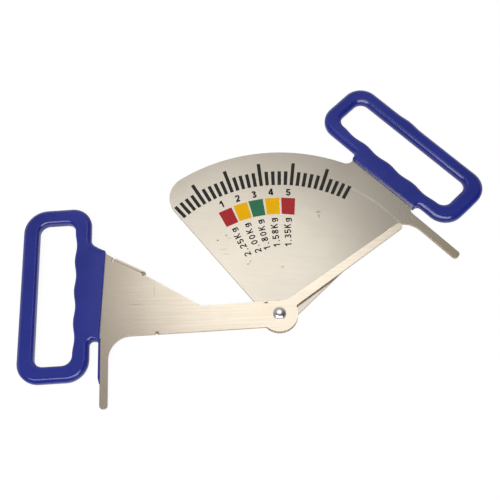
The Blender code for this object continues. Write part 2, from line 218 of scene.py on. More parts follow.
def oval(centre: Point, wide: float, high: float, start: float, end: float) -> Outline:
    """Points along an oval, both ends included.

    Args:
        centre: Its centre.
        wide: Half its width.
        high: Half its height.
        start: Angle of the first point, in degrees.
        end: Angle of the last point, in degrees.

    Returns:
        The points in order.
    """
    count = max(6, ceil(abs(end - start) / 12))
    angles = [radians(start + (end - start) * i / count) for i in range(count + 1)]
    return [(centre[0] + wide * cos(a), centre[1] + high * sin(a)) for a in angles]


# Meshes


def sheet(outlines: list[Outline], low: float, high: float) -> bmesh.types.BMesh:
    """Flat solid between two heights.

    Args:
        outlines: The outer outline, then its holes.
        low: Height of the underside.
        high: Height of the top.

    Returns:
        The mesh, in drawing millimetres.
    """
    bm = bmesh.new()
    for outline in outlines:
        verts = [bm.verts.new((x, y, low)) for x, y in outline]
        for first, second in zip(verts, verts[1:] + verts[:1]):
            bm.edges.new((first, second))
    bmesh.ops.triangle_fill(bm, use_beauty=True, edges=bm.edges)
    if high > low:
        raised = bmesh.ops.extrude_face_region(bm, geom=bm.faces[:])
        moved = [v for v in raised["geom"] if isinstance(v, bmesh.types.BMVert)]
        bmesh.ops.translate(bm, verts=moved, vec=(0.0, 0.0, high - low))
    bmesh.ops.recalc_face_normals(bm, faces=bm.faces)
    return bm


def join_rings(bm: bmesh.types.BMesh, rings: list[list[bmesh.types.BMVert]],
               closed: bool = False) -> None:
    """Join rings of as many points with faces.

    Args:
        bm: Mesh of the rings.
        rings: The rings in order; a ring may be one point repeated.
        closed: Whether the last ring joins the first.
    """
    for first, second in zip(rings, rings[1:] + (rings[:1] if closed else [])):
        for i in range(len(first)):
            j = (i + 1) % len(first)
            corners = [first[i], first[j], second[j], second[i]]
            bm.faces.new(list(dict.fromkeys(corners)))


def turned(profile: list[Point], sides: int = 96) -> bmesh.types.BMesh:
    """Round solid about the pivot axis.

    Args:
        profile: Closed (radius, height) profile; it starts and ends at radius 0 if solid.
        sides: Number of sides.

    Returns:
        The mesh, in drawing millimetres.
    """
    bm = bmesh.new()
    rings = []
    for radius, height in profile:
        if radius == 0:
            rings.append([bm.verts.new((0.0, 0.0, height))] * sides)
            continue
        angles = [2 * pi * i / sides for i in range(sides)]
        rings.append([bm.verts.new((radius * cos(a), radius * sin(a), height)) for a in angles])
    join_rings(bm, rings, closed=profile[0][0] != 0)
    bmesh.ops.recalc_face_normals(bm, faces=bm.faces)
    return bm


def place(name: str, bm: bmesh.types.BMesh, matrix: Matrix, body: str, finish: bpy.types.Material,
          smooth: float = 35.0) -> bpy.types.Object:
    """Turn a mesh into a shown piece.

    Args:
        name: Name of the piece.
        bm: Its mesh, in drawing millimetres.
        matrix: Matrix to the row frame.
        body: The body that it rides on.
        finish: Its material.
        smooth: Edges sharper than this angle stay sharp.

    Returns:
        The new object.
    """
    bmesh.ops.transform(bm, matrix=matrix, verts=bm.verts)
    if matrix.determinant() < 0:
        bmesh.ops.reverse_faces(bm, faces=bm.faces)
    mesh = bpy.data.meshes.new(name)
    bm.to_mesh(mesh)
    bm.free()
    mesh.materials.append(finish)
    mesh.shade_smooth()
    mesh.set_sharp_from_angle(angle=radians(smooth))
    made = bpy.data.objects.new(name, mesh)
    bpy.context.scene.collection.objects.link(made)
    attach(made, body)
    log.info("%s: %d faces", name, len(mesh.polygons))
    return made


def round_edges(made: bpy.types.Object, width: float, segments: int = 3) -> None:
    """Round the sharp edges of a piece.

    Args:
        made: The piece.
        width: Width of the rounding, in millimetres.
        segments: Its number of steps.
    """
    bevel = made.modifiers.new("rounded_edges", "BEVEL")
    bevel.width = width * MM
    bevel.segments = segments
    bevel.limit_method = "ANGLE"
    bevel.angle_limit = radians(40)
    bevel.harden_normals = True


# Node graphs


class Graph:
    """A node tree that is being wired."""

    def __init__(self, tree: bpy.types.NodeTree) -> None:
        """Start on a tree.

        Args:
            tree: The tree of a material, world or group.
        """
        self.tree = tree

    def add(self, kind: str, inputs: dict | None = None, **settings: object) -> bpy.types.Node:
        """Add a node.

        Args:
            kind: Type of the node.
            inputs: Values or source sockets for its inputs, by name or index.
            **settings: Properties of the node.

        Returns:
            The new node.
        """
        node = self.tree.nodes.new(kind)
        for name, value in settings.items():
            setattr(node, name, value)
        for key, value in (inputs or {}).items():
            if isinstance(value, bpy.types.NodeSocket):
                self.tree.links.new(value, node.inputs[key])
            else:
                node.inputs[key].default_value = value
        return node

    def math(self, operation: str, first: object, second: object = 0.0,
             clamp: bool = False) -> bpy.types.NodeSocket:
        """Output of a Math node.

        Args:
            operation: Its operation.
            first: First value or socket.
            second: Second value or socket.
            clamp: Whether the result is kept between 0 and 1.

        Returns:
            The result's socket.
        """
        inputs = {0: first, 1: second}
        return self.add("ShaderNodeMath", inputs, operation=operation, use_clamp=clamp).outputs[0]

    def blend(self, share: object, first: object, second: object) -> bpy.types.NodeSocket:
        """Output of a colour Mix node.

        Args:
            share: Share of the second colour.
            first: First colour or socket.
            second: Second colour or socket.

        Returns:
            The result's socket.
        """
        inputs = {0: share, 6: first, 7: second}
        return self.add("ShaderNodeMix", inputs, data_type="RGBA").outputs[2]

    def vector(self, operation: str, first: object,
               second: object = (0.0, 0.0, 0.0)) -> bpy.types.NodeSocket:
        """Output of a Vector Math node.

        Args:
            operation: Its operation.
            first: First vector or socket.
            second: Second vector or socket.

        Returns:
            The socket of the number for a length or dot product, or else of the vector.
        """
        node = self.add("ShaderNodeVectorMath", {0: first, 1: second}, operation=operation)
        return node.outputs["Value" if operation in ("LENGTH", "DOT_PRODUCT") else "Vector"]

    def noise(self, position: object, scale: object, detail: float = 2.0,
              roughness: float = 0.5) -> bpy.types.NodeSocket:
        """Output of a Noise Texture node.

        Args:
            position: Socket of the position.
            scale: Scale or its socket.
            detail: Number of finer layers.
            roughness: Share of the finer layers.

        Returns:
            The socket of the noise, about 0.2 to 0.8.
        """
        inputs = {"Vector": position, "Scale": scale, "Detail": detail, "Roughness": roughness}
        return self.add("ShaderNodeTexNoise", inputs).outputs[0]

    def feed(self, node: bpy.types.Node, sockets: dict) -> None:
        """Link sockets to a node.

        Args:
            node: The node.
            sockets: Source socket of each input, by name or index.
        """
        for key, socket in sockets.items():
            self.tree.links.new(socket, node.inputs[key])

    def span(self, value: object, low: float, high: float, to_low: float = 0.0,
             to_high: float = 1.0) -> bpy.types.NodeSocket:
        """Output of a clamped Map Range node.

        Args:
            value: Value or socket to map.
            low: Start of its range.
            high: End of its range.
            to_low: Result at the start.
            to_high: Result at the end.

        Returns:
            The result's socket.
        """
        inputs = {0: value, 1: low, 2: high, 3: to_low, 4: to_high}
        return self.add("ShaderNodeMapRange", inputs).outputs[0]


def rgba(colour: Colour) -> tuple[float, float, float, float]:
    """Colour with full alpha."""
    return (*colour, 1.0)


def new_group(name: str, inputs: dict[str, tuple[str, object]],
              outputs: dict[str, str]) -> tuple[bpy.types.NodeTree, Graph, bpy.types.Node,
                                                bpy.types.Node]:
    """Make an empty shader node group.

    Args:
        name: Name of the group.
        inputs: Socket type and default value of each input.
        outputs: Socket type of each output.

    Returns:
        The group, its graph, its input node and its output node.
    """
    group = bpy.data.node_groups.new(name, "ShaderNodeTree")
    for key, (kind, default) in inputs.items():
        socket = group.interface.new_socket(key, in_out="INPUT", socket_type=kind)
        if default is not None:
            socket.default_value = default
    for key, kind in outputs.items():
        group.interface.new_socket(key, in_out="OUTPUT", socket_type=kind)
    graph = Graph(group)
    return group, graph, graph.add("NodeGroupInput"), graph.add("NodeGroupOutput")


FLOAT = "NodeSocketFloat"
VECTOR = "NodeSocketVector"
FLAT = (1.0, 1.0, 0.0)


def grain_group() -> bpy.types.NodeTree:
    """Rolling grain of sheet metal: long fine streaks along local X.

    Returns:
        A group that takes a position and puts out a streak mask and a cloud mask.
    """
    inputs = {"Position": (VECTOR, None), "Streak": (FLOAT, 1400.0), "Cloud": (FLOAT, 22.0)}
    outputs = {"Streaks": FLOAT, "Clouds": FLOAT}
    group, graph, source, sink = new_group("sheet_grain", inputs, outputs)
    squeeze = graph.vector("MULTIPLY", source.outputs[0], (0.02, 1.0, 0.3))
    streaks = graph.noise(squeeze, source.outputs[1], 3.0, 0.6)
    clouds = graph.noise(source.outputs[0], source.outputs[2], 4.0, 0.55)
    graph.feed(sink, {0: streaks, 1: clouds})
    return group


def scratch_group() -> bpy.types.NodeTree:
    """Hair scratches in two crossing directions.

    Returns:
        A group that takes a position and puts out a mask of thin lines.
    """
    inputs = {"Position": (VECTOR, None), "Amount": (FLOAT, 0.3)}
    group, graph, source, sink = new_group("hair_scratches", inputs, {"Lines": FLOAT})
    total: object = 0.0
    for turn in (23.0, 71.0, -38.0):
        place_lines = graph.add("ShaderNodeMapping", {"Vector": source.outputs[0],
                                "Rotation": (0.0, 0.0, radians(turn)),
                                "Location": (turn * 0.013, turn * 0.007, 0.0)})
        squeeze = graph.vector("MULTIPLY", place_lines.outputs[0], (0.04, 1.0, 0.04))
        line = graph.span(graph.noise(squeeze, 900.0, 1.0), 0.70, 0.78)
        total = graph.math("MAXIMUM", total, line)
    here = graph.span(graph.noise(source.outputs[0], 60.0), 0.45, 0.65)
    result = graph.math("MULTIPLY", graph.math("MULTIPLY", total, here), source.outputs[1])
    graph.feed(sink, {0: result})
    return group


def speck_group() -> bpy.types.NodeTree:
    """Small scattered specks, such as dust, ink dots or pits.

    Returns:
        A group that takes a position, a scale and a size and puts out a mask.
    """
    inputs = {"Position": (VECTOR, None), "Scale": (FLOAT, 120.0), "Size": (FLOAT, 0.06),
              "Share": (FLOAT, 0.3)}
    group, graph, source, sink = new_group("specks", inputs, {"Mask": FLOAT})
    cells = graph.add("ShaderNodeTexVoronoi", {"Vector": source.outputs[0],
                      "Scale": source.outputs[1]})
    chosen = graph.add("ShaderNodeSeparateColor", {0: cells.outputs["Color"]})
    is_chosen = graph.math("LESS_THAN", chosen.outputs[0], source.outputs[3])
    size = graph.math("MULTIPLY", source.outputs[2], chosen.outputs[1])
    dot = graph.math("LESS_THAN", cells.outputs["Distance"], size)
    graph.feed(sink, {0: graph.math("MULTIPLY", is_chosen, dot)})
    return group


def spot_group() -> bpy.types.NodeTree:
    """One ragged spot, such as a burn beside a laser cut, a stain, or a wide soft patch of painted
    shade.

    Returns:
        A group that takes a position, a centre, one over the spot's half sizes and its softness,
        and puts out a mask.
    """
    inputs = {"Position": (VECTOR, None), "Centre": (VECTOR, (0.0, 0.0, 0.0)),
              "Stretch": (VECTOR, (1000.0, 1000.0, 0.0)), "Soft": (FLOAT, 0.5)}
    group, graph, source, sink = new_group("ragged_spot", inputs, {"Mask": FLOAT})
    away = graph.vector("SUBTRACT", source.outputs[0], source.outputs[1])
    reach = graph.vector("LENGTH", graph.vector("MULTIPLY", away, source.outputs[2]))
    ragged = graph.noise(source.outputs[0], 900.0, 3.0)
    rough_reach = graph.math("ADD", reach, graph.span(ragged, 0.3, 0.7, -0.25, 0.25))
    start = graph.math("SUBTRACT", 1.0, source.outputs[3])
    inside = graph.add("ShaderNodeMapRange", {0: rough_reach, 1: start, 2: 1.0, 3: 1.0, 4: 0.0})
    graph.feed(sink, {0: inside.outputs[0]})
    return group


def rub_group() -> bpy.types.NodeTree:
    """Thin ring rubbed into a sheet by a part that turns about the pivot.

    Returns:
        A group that takes a position, a radius and a width and puts out a mask.
    """
    inputs = {"Position": (VECTOR, None), "Radius": (FLOAT, 0.1105), "Width": (FLOAT, 0.0011)}
    group, graph, source, sink = new_group("rub_ring", inputs, {"Mask": FLOAT})
    reach = graph.vector("LENGTH", graph.vector("MULTIPLY", source.outputs[0], FLAT))
    off = graph.math("ABSOLUTE", graph.math("SUBTRACT", reach, source.outputs[1]))
    line = graph.math("SUBTRACT", 1.0, graph.math("DIVIDE", off, source.outputs[2]), clamp=True)
    broken = graph.noise(source.outputs[0], 160.0, 3.0)
    result = graph.math("MULTIPLY", line, graph.span(broken, 0.3, 0.6, 0.3, 1.0))
    graph.feed(sink, {0: result})
    return group


class Effects:
    """The shared node groups, each built once."""

    def __init__(self) -> None:
        """Build the groups."""
        self.grain = grain_group()
        self.scratches = scratch_group()
        self.specks = speck_group()
        self.spot = spot_group()
        self.rub = rub_group()

    def use(self, graph: Graph, group: bpy.types.NodeTree, inputs: dict) -> bpy.types.Node:
        """Place a group in a material.

        Args:
            graph: Graph of the material.
            group: The group.
            inputs: Values or sockets for its inputs.

        Returns:
            The group's node.
        """
        return graph.add("ShaderNodeGroup", inputs, node_tree=group)


EFFECTS = Effects()


def new_material(name: str, constants: dict[str, object]) -> tuple[bpy.types.Material, Graph,
                                                                   bpy.types.Node]:
    """Make a material with a Principled shader.

    Args:
        name: Name of the material.
        constants: Values for sockets of the shader.

    Returns:
        The material, its graph and its shader.
    """
    made = bpy.data.materials.new(name)
    made.use_nodes = True
    shader = made.node_tree.nodes["Principled BSDF"]
    for key, value in constants.items():
        shader.inputs[key].default_value = value
    return made, Graph(made.node_tree), shader


def local_position(graph: Graph, turn: float = 0.0) -> bpy.types.NodeSocket:
    """Position on the piece, turned about the pivot axis.

    Args:
        graph: Graph of the material.
        turn: Turn in degrees.

    Returns:
        The socket with the position in metres.
    """
    coords = graph.add("ShaderNodeTexCoord")
    mapping = graph.add("ShaderNodeMapping", {"Vector": coords.outputs["Object"],
                        "Rotation": (0.0, 0.0, radians(turn))})
    return mapping.outputs[0]


# Finishes


@dataclass(frozen=True)
class StainOrShade:
    """Mark on a sheet, or a wide soft patch of painted shade or painted reflection: its centre and
    half sizes in millimetres, colour and strength.
    """

    x: float
    y: float
    wide: float
    high: float
    colour: Colour
    share: float
    soft: float = 0.6


@dataclass(frozen=True)
class Stainless:
    """Tumbled stainless sheet with laser-cut edges."""

    name: str
    colour: Colour = (0.85, 0.775, 0.655)
    shade: Colour = (0.80, 0.72, 0.60)
    edge: Colour = (0.56, 0.46, 0.36)
    roughness: float = 0.24
    edge_roughness: float = 0.42
    streak: float = 980.0
    streak_share: float = 0.40
    grain_turn: float = 0.0
    lean: Point = (0.0, 0.0)
    rubbed: bool = False
    # Stains and marks, and also wide soft patches of painted shade and painted reflection.
    stains_and_shade: tuple[StainOrShade, ...] = ()

    def marked_and_shaded(self, graph: Graph, colour: bpy.types.NodeSocket) -> bpy.types.NodeSocket:
        """Add the marks, and the patches of painted shade and painted reflection, to a colour.

        Args:
            graph: Graph of the material.
            colour: The sheet's colour.

        Returns:
            The colour with the marks and painted patches.
        """
        position = local_position(graph)
        for stain_or_shade in self.stains_and_shade:
            inputs = {0: position, 1: (stain_or_shade.x * MM, stain_or_shade.y * MM, 0.0),
                      2: (1000.0 / stain_or_shade.wide, 1000.0 / stain_or_shade.high, 0.0), 3: stain_or_shade.soft}
            mask = EFFECTS.use(graph, EFFECTS.spot, inputs).outputs[0]
            colour = graph.blend(graph.math("MULTIPLY", mask, stain_or_shade.share), colour,
                                 rgba(stain_or_shade.colour))
        if self.rubbed:
            ring = EFFECTS.use(graph, EFFECTS.rub, {0: position}).outputs[0]
            sides = graph.add("ShaderNodeSeparateXYZ", {0: position})
            here = graph.span(sides.outputs[0], 0.040, 0.066)
            colour = graph.blend(graph.math("MULTIPLY", ring, graph.math("MULTIPLY", here, 0.50)),
                                 colour, (1.0, 0.98, 0.90, 1.0))
        return colour

    def material(self) -> bpy.types.Material:
        """Build the material.

        Returns:
            The material.
        """
        made, graph, shader = new_material(self.name, {"Metallic": 1.0, "IOR": 2.5})
        position = local_position(graph, self.grain_turn)
        grain = EFFECTS.use(graph, EFFECTS.grain, {0: position, 1: self.streak, 2: 22.0})
        scratches = EFFECTS.use(graph, EFFECTS.scratches, {0: position, 1: 0.35})
        clouds = graph.span(grain.outputs[1], 0.38, 0.66)
        colour = graph.blend(clouds, rgba(self.shade), rgba(self.colour))
        streaks = graph.span(grain.outputs[0], 0.30, 0.70, 0.0, self.streak_share)
        colour = graph.blend(streaks, colour, rgba(tuple(c * 0.86 for c in self.shade)))
        colour = self.marked_and_shaded(graph, colour)
        normal = graph.add("ShaderNodeTexCoord").outputs["Normal"]
        height = graph.add("ShaderNodeSeparateXYZ", {0: normal}).outputs[2]
        side = graph.span(graph.math("ABSOLUTE", height), 0.35, 0.75, 1.0, 0.0)
        colour = graph.blend(side, colour, rgba(self.edge))
        rough = graph.math("ADD", graph.span(grain.outputs[0], 0.3, 0.7, -0.008, 0.012),
                           self.roughness)
        rough = graph.math("ADD", rough, graph.math("MULTIPLY", scratches.outputs[0], 0.08))
        rough = graph.math("ADD", rough, graph.math("MULTIPLY", side, self.edge_roughness))
        bump_height = graph.math("ADD", grain.outputs[0],
                                 graph.math("MULTIPLY", scratches.outputs[0], -1.0))
        bump = graph.add("ShaderNodeBump", {"Strength": 0.05, "Distance": 0.00002,
                         "Height": bump_height})
        leaning = graph.vector("DOT_PRODUCT", local_position(graph),
                               (-self.lean[0], -self.lean[1], 0.0))
        bump = graph.add("ShaderNodeBump", {"Strength": 1.0, "Distance": 1.0,
                         "Height": leaning, "Normal": bump.outputs[0]})
        graph.feed(shader, {"Base Color": colour, "Roughness": rough, "Normal": bump.outputs[0]})
        return made


@dataclass(frozen=True)
class DipCoat:
    """Blue plastisol that the loops were dipped in."""

    name: str = "blue_dip_coat"
    colour: Colour = (0.011, 0.021, 0.232)
    deep: Colour = (0.007, 0.015, 0.190)
    roughness: float = 0.17

    def material(self) -> bpy.types.Material:
        """Build the material.

        Returns:
            The material.
        """
        made, graph, shader = new_material(self.name, {"Specular IOR Level": 0.62})
        position = local_position(graph)
        cloud = graph.noise(position, 28.0, 3.0)
        peel = graph.noise(position, 420.0)
        colour = graph.blend(graph.span(cloud, 0.35, 0.65), rgba(self.deep), rgba(self.colour))
        rough = graph.span(cloud, 0.3, 0.7, self.roughness - 0.03, self.roughness + 0.05)
        dust = EFFECTS.use(graph, EFFECTS.specks, {0: position, 1: 260.0, 2: 0.10, 3: 0.06})
        colour = graph.blend(graph.math("MULTIPLY", dust.outputs[0], 0.35), colour,
                             (0.16, 0.17, 0.35, 1.0))
        bump = graph.add("ShaderNodeBump", {"Strength": 0.12, "Distance": 0.0001,
                         "Height": peel})
        wave = graph.add("ShaderNodeBump", {"Strength": 0.4, "Distance": 0.0008,
                         "Height": cloud, "Normal": bump.outputs[0]})
        graph.feed(shader, {"Base Color": colour, "Roughness": rough, "Normal": wave.outputs[0]})
        return made


@dataclass(frozen=True)
class Ink:
    """Screen-printed ink, slightly uneven, with small pinholes."""

    name: str
    colour: Colour
    pinholes: float = 0.05

    def material(self) -> bpy.types.Material:
        """Build the material.

        Returns:
            The material.
        """
        made, graph, shader = new_material(self.name, {"Specular IOR Level": 0.06})
        position = local_position(graph)
        cloud = graph.noise(position, 240.0, 4.0)
        uneven = rgba(tuple(c * 0.92 + 0.003 for c in self.colour))
        colour = graph.blend(graph.span(cloud, 0.35, 0.7), rgba(self.colour), uneven)
        holes = EFFECTS.use(graph, EFFECTS.specks, {0: position, 1: 900.0, 2: 0.3,
                            3: self.pinholes})
        alpha = graph.math("SUBTRACT", 1.0, graph.math("MULTIPLY", holes.outputs[0], 0.6))
        rough = graph.span(cloud, 0.3, 0.7, 0.42, 0.58)
        graph.feed(shader, {"Base Color": colour, "Roughness": rough, "Alpha": alpha})
        return made


@dataclass(frozen=True)
class Polished:
    """Bright metal of the pivot's parts, with fine turning marks."""

    name: str
    colour: Colour = (0.80, 0.80, 0.82)
    roughness: float = 0.12

    def material(self) -> bpy.types.Material:
        """Build the material.

        Returns:
            The material.
        """
        made, graph, shader = new_material(self.name, {"Metallic": 1.0})
        position = local_position(graph)
        radius = graph.vector("LENGTH", graph.vector("MULTIPLY", position, FLAT))
        rings = graph.math("SINE", graph.math("MULTIPLY", radius, 42000.0))
        cloud = graph.noise(position, 500.0, 3.0)
        rough = graph.span(cloud, 0.3, 0.7, self.roughness - 0.04, self.roughness + 0.08)
        tint = graph.blend(graph.span(cloud, 0.35, 0.65, 0.0, 0.25),
                           rgba(self.colour), rgba(tuple(c * 0.75 for c in self.colour)))
        bump = graph.add("ShaderNodeBump", {"Strength": 0.04, "Distance": 0.00001,
                         "Height": rings})
        graph.feed(shader, {"Base Color": tint, "Roughness": rough, "Normal": bump.outputs[0]})
        return made


@dataclass(frozen=True)
class Nylon:
    """White nylon of the thrust washer."""

    name: str = "white_nylon"
    colour: Colour = (0.80, 0.79, 0.75)

    def material(self) -> bpy.types.Material:
        """Build the material.

        Returns:
            The material.
        """
        constants = {"Subsurface Weight": 0.1, "Subsurface Scale": 0.001}
        made, graph, shader = new_material(self.name, constants)
        cloud = graph.noise(local_position(graph), 300.0, 3.0)
        colour = graph.blend(graph.span(cloud, 0.35, 0.65, 0.0, 0.3), rgba(self.colour),
                             (0.66, 0.64, 0.58, 1.0))
        rough = graph.span(cloud, 0.3, 0.7, 0.45, 0.6)
        graph.feed(shader, {"Base Color": colour, "Roughness": rough})
        return made


# Sub-assemblies


@dataclass
class LoopDrawing:
    """The grip's loop and the jaw leg, which both plates and both coats are drawn from."""

    hub_r: float = 12.7
    arm_foot: float = 8.65
    arm_back: float = -9.3
    leg_near: float = 116.8
    leg_far: float = 121.9
    leg_tip: float = 57.8
    leg_tip_r: float = 2.3
    foot_fillet: float = 15.0
    slot_end: float = 9.9
    slot_r: float = 3.2
    grip_x: float = -25.25
    grip_y: float = 153.5
    grip_length: float = 127.6
    grip_width: float = 48.3
    grip_r: float = 15.0
    window_length: float = 105.3
    window_width: float = 26.0
    window_r: float = 6.8
    window_x: float = 0.0
    fingers: int = 4
    finger_pitch: float = 22.8
    finger_depth: float = 1.15
    coat: float = 1.5
    nick_r: float = 0.75
    foot_nick: float = 84.0
    back_nick: float = 9.0

    def corners(self, length: float, width: float, inset: float) -> tuple[Point, Point]:
        """Lowest and highest corner of a box about the grip's middle.

        Args:
            length: Length of the box along X.
            width: Its width along Y.
            inset: How far it is moved inwards.

        Returns:
            The two corners.
        """
        low = (self.grip_x - length / 2 + inset, self.grip_y - width / 2 + inset)
        high = (self.grip_x + length / 2 - inset, self.grip_y + width / 2 - inset)
        return low, high

    def window(self, inset: float) -> Outline:
        """The grip's window, waved for the fingers on its near side.

        Args:
            inset: How far it is moved inwards.

        Returns:
            The outline, anticlockwise.
        """
        low, high = self.corners(self.window_length, self.window_width, inset)
        low, high = (low[0] + self.window_x, low[1]), (high[0] + self.window_x, high[1])
        radius = self.window_r - inset
        points = round_corner((high[0], low[1]), high, (low[0], high[1]), radius)
        points += round_corner(high, (low[0], high[1]), low, radius)
        points += round_corner((low[0], high[1]), low, (high[0], low[1]), radius)
        span = self.fingers * self.finger_pitch
        steps = self.fingers * 16
        for i in range(1, steps):
            x = self.grip_x - span / 2 + span * i / steps
            hollow = (1 - cos(2 * pi * self.fingers * i / steps)) / 2
            points.append((x, low[1] - self.finger_depth * hollow))
        points += round_corner(low, (high[0], low[1]), high, radius)
        return points

    def nick(self, edge: float, height: float, side: int) -> Outline:
        """Small round nick where the laser started on an arm edge.

        Args:
            edge: X of the edge.
            height: Y of the nick.
            side: 1 where the outline runs up the edge, -1 where it runs down.

        Returns:
            The points of the nick.
        """
        return arc((edge, height), self.nick_r, -90 * side, -270 * side, 0.03)

    def foot_and_grip(self) -> Outline:
        """Outline from the hub up the arm, round the leg, the slot and the loop.

        Returns:
            The points in order, up to the near edge of the loop.
        """
        low, high = self.corners(self.grip_length, self.grip_width, self.coat)
        radius = self.grip_r - self.coat
        start = (self.arm_foot, sqrt(self.hub_r ** 2 - self.arm_foot ** 2))
        corners = [
            (self.arm_foot, self.foot_nick + 5.0, 0.0),
            (self.arm_foot, self.leg_near, self.foot_fillet),
            (self.leg_tip, self.leg_near, self.leg_tip_r),
            (self.leg_tip, self.leg_far, self.leg_tip_r),
            (self.slot_end, self.leg_far, self.slot_r),
            (self.slot_end, low[1], self.slot_r),
            (high[0], low[1], radius),
            (high[0], high[1], radius),
            (low[0], high[1], radius),
            (low[0], low[1], radius),
            (low[0] + 2 * radius, low[1], 0.0),
        ]
        return [start] + self.nick(self.arm_foot, self.foot_nick, 1) + rounded(corners)[1:]


@dataclass
class Plate:
    """What the two sheets have in common."""

    drawing: LoopDrawing
    hole_r: float = 3.1
    edge_round: float = 0.3

    @property
    def near_y(self) -> float:
        """Y of the loop's edge on the side of the pivot."""
        return self.drawing.grip_y - self.drawing.grip_width / 2 + self.drawing.coat

    def blank(self, outline: Outline, low: float) -> bmesh.types.BMesh:
        """Cut sheet with the loop's window and the pivot's hole.

        Args:
            outline: Outline of the sheet.
            low: Height of its underside.

        Returns:
            The mesh, in drawing millimetres.
        """
        window = self.drawing.window(-self.drawing.coat)
        hole = arc((0, 0), self.hole_r, 0, 360)[:-1]
        return sheet([outline, window, hole], low, low + SHEET)


@dataclass
class SectorPlate(Plate):
    """Sheet with the dial, an arm, a jaw leg and the loop inside the right grip."""

    dial_r: float = 127.8
    corner_r: float = 18.0
    edge_angle: float = 175.0
    edge_offset: float = 7.15
    pocket_x: float = -46.6
    pocket_r: float = 6.0

    def outline(self) -> Outline:
        """Outline of the sheet, anticlockwise.

        Returns:
            The points in order.
        """
        d = self.drawing
        x = self.pocket_x - self.pocket_r
        y = sqrt((self.dial_r + self.pocket_r) ** 2 - x ** 2)
        points = d.foot_and_grip()
        before = points[-1]
        points += round_corner(before, (self.pocket_x, self.near_y), (self.pocket_x, y),
                               self.pocket_r)
        to_pivot = degrees(atan2(-y, -x))
        points += arc((x, y), self.pocket_r, 0.0, to_pivot)
        inset = self.corner_r - self.edge_offset
        reach = sqrt((self.dial_r - self.corner_r) ** 2 - inset ** 2)
        centre = along(self.edge_angle, reach, inset)
        corner = degrees(atan2(centre[1], centre[0]))
        points += arc((0, 0), self.dial_r, 180.0 + to_pivot, corner)[1:]
        points += arc(centre, self.corner_r, corner, self.edge_angle + 90)[1:]
        start = self.edge_angle + degrees(asin(self.edge_offset / d.hub_r))
        end = 360 + degrees(acos(d.arm_foot / d.hub_r))
        return points + arc((0, 0), d.hub_r, start, end)[:-1]

    def build(self) -> bpy.types.Object:
        """Build the sheet in place of its CAD node.

        Returns:
            The piece.
        """
        bm = self.blank(self.outline(), Half.SECTOR.low)
        grey = (0.30, 0.28, 0.25)
        brown = (0.20, 0.12, 0.06)
        painted_reflection_tone = (0.82, 0.72, 0.47)
        marks_and_shade = (
            # Painted reflection: a wide soft warmer, slightly lighter patch over the jaw leg's tip
            # stands in for slow changes of the light reflected there.
            StainOrShade(124.0, 40.0, 46.0, 46.0, painted_reflection_tone, 0.62, 1.0),
            StainOrShade(-41.26, 57.71, 0.9, 0.8, (0.10, 0.06, 0.05), 0.75),
            StainOrShade(-35.13, 61.21, 1.5, 1.0, brown, 0.50),
            StainOrShade(-33.0, 59.0, 2.6, 0.6, brown, 0.25),
            StainOrShade(-20.21, 38.49, 1.3, 0.9, brown, 0.50),
            StainOrShade(-18.53, 40.32, 0.7, 1.5, brown, 0.45),
            StainOrShade(-37.0, 50.5, 4.0, 0.6, brown, 0.22),
            StainOrShade(-35.5, 46.8, 3.0, 0.6, brown, 0.20),
            StainOrShade(3.64, 35.25, 1.6, 1.3, grey, 0.40),
            StainOrShade(31.62, 77.03, 1.9, 0.9, grey, 0.80),
            StainOrShade(31.76, 73.66, 0.9, 1.8, grey, 0.60),
        )
        # Its colours are set darker than the pointer sheet's: painted shade for the weaker light
        # that its turned grain reflects.
        finish = Stainless("stainless_sector", (0.685, 0.64, 0.558), (0.64, 0.597, 0.518),
                           grain_turn=8.0, streak=1300.0, streak_share=0.10, lean=(0.017, 0.012),
                           rubbed=True, stains_and_shade=marks_and_shade).material()
        made = place("dial_plate", bm, Half.SECTOR.placing, Half.SECTOR.body, finish)
        round_edges(made, self.edge_round)
        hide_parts("sector_plate")
        return made


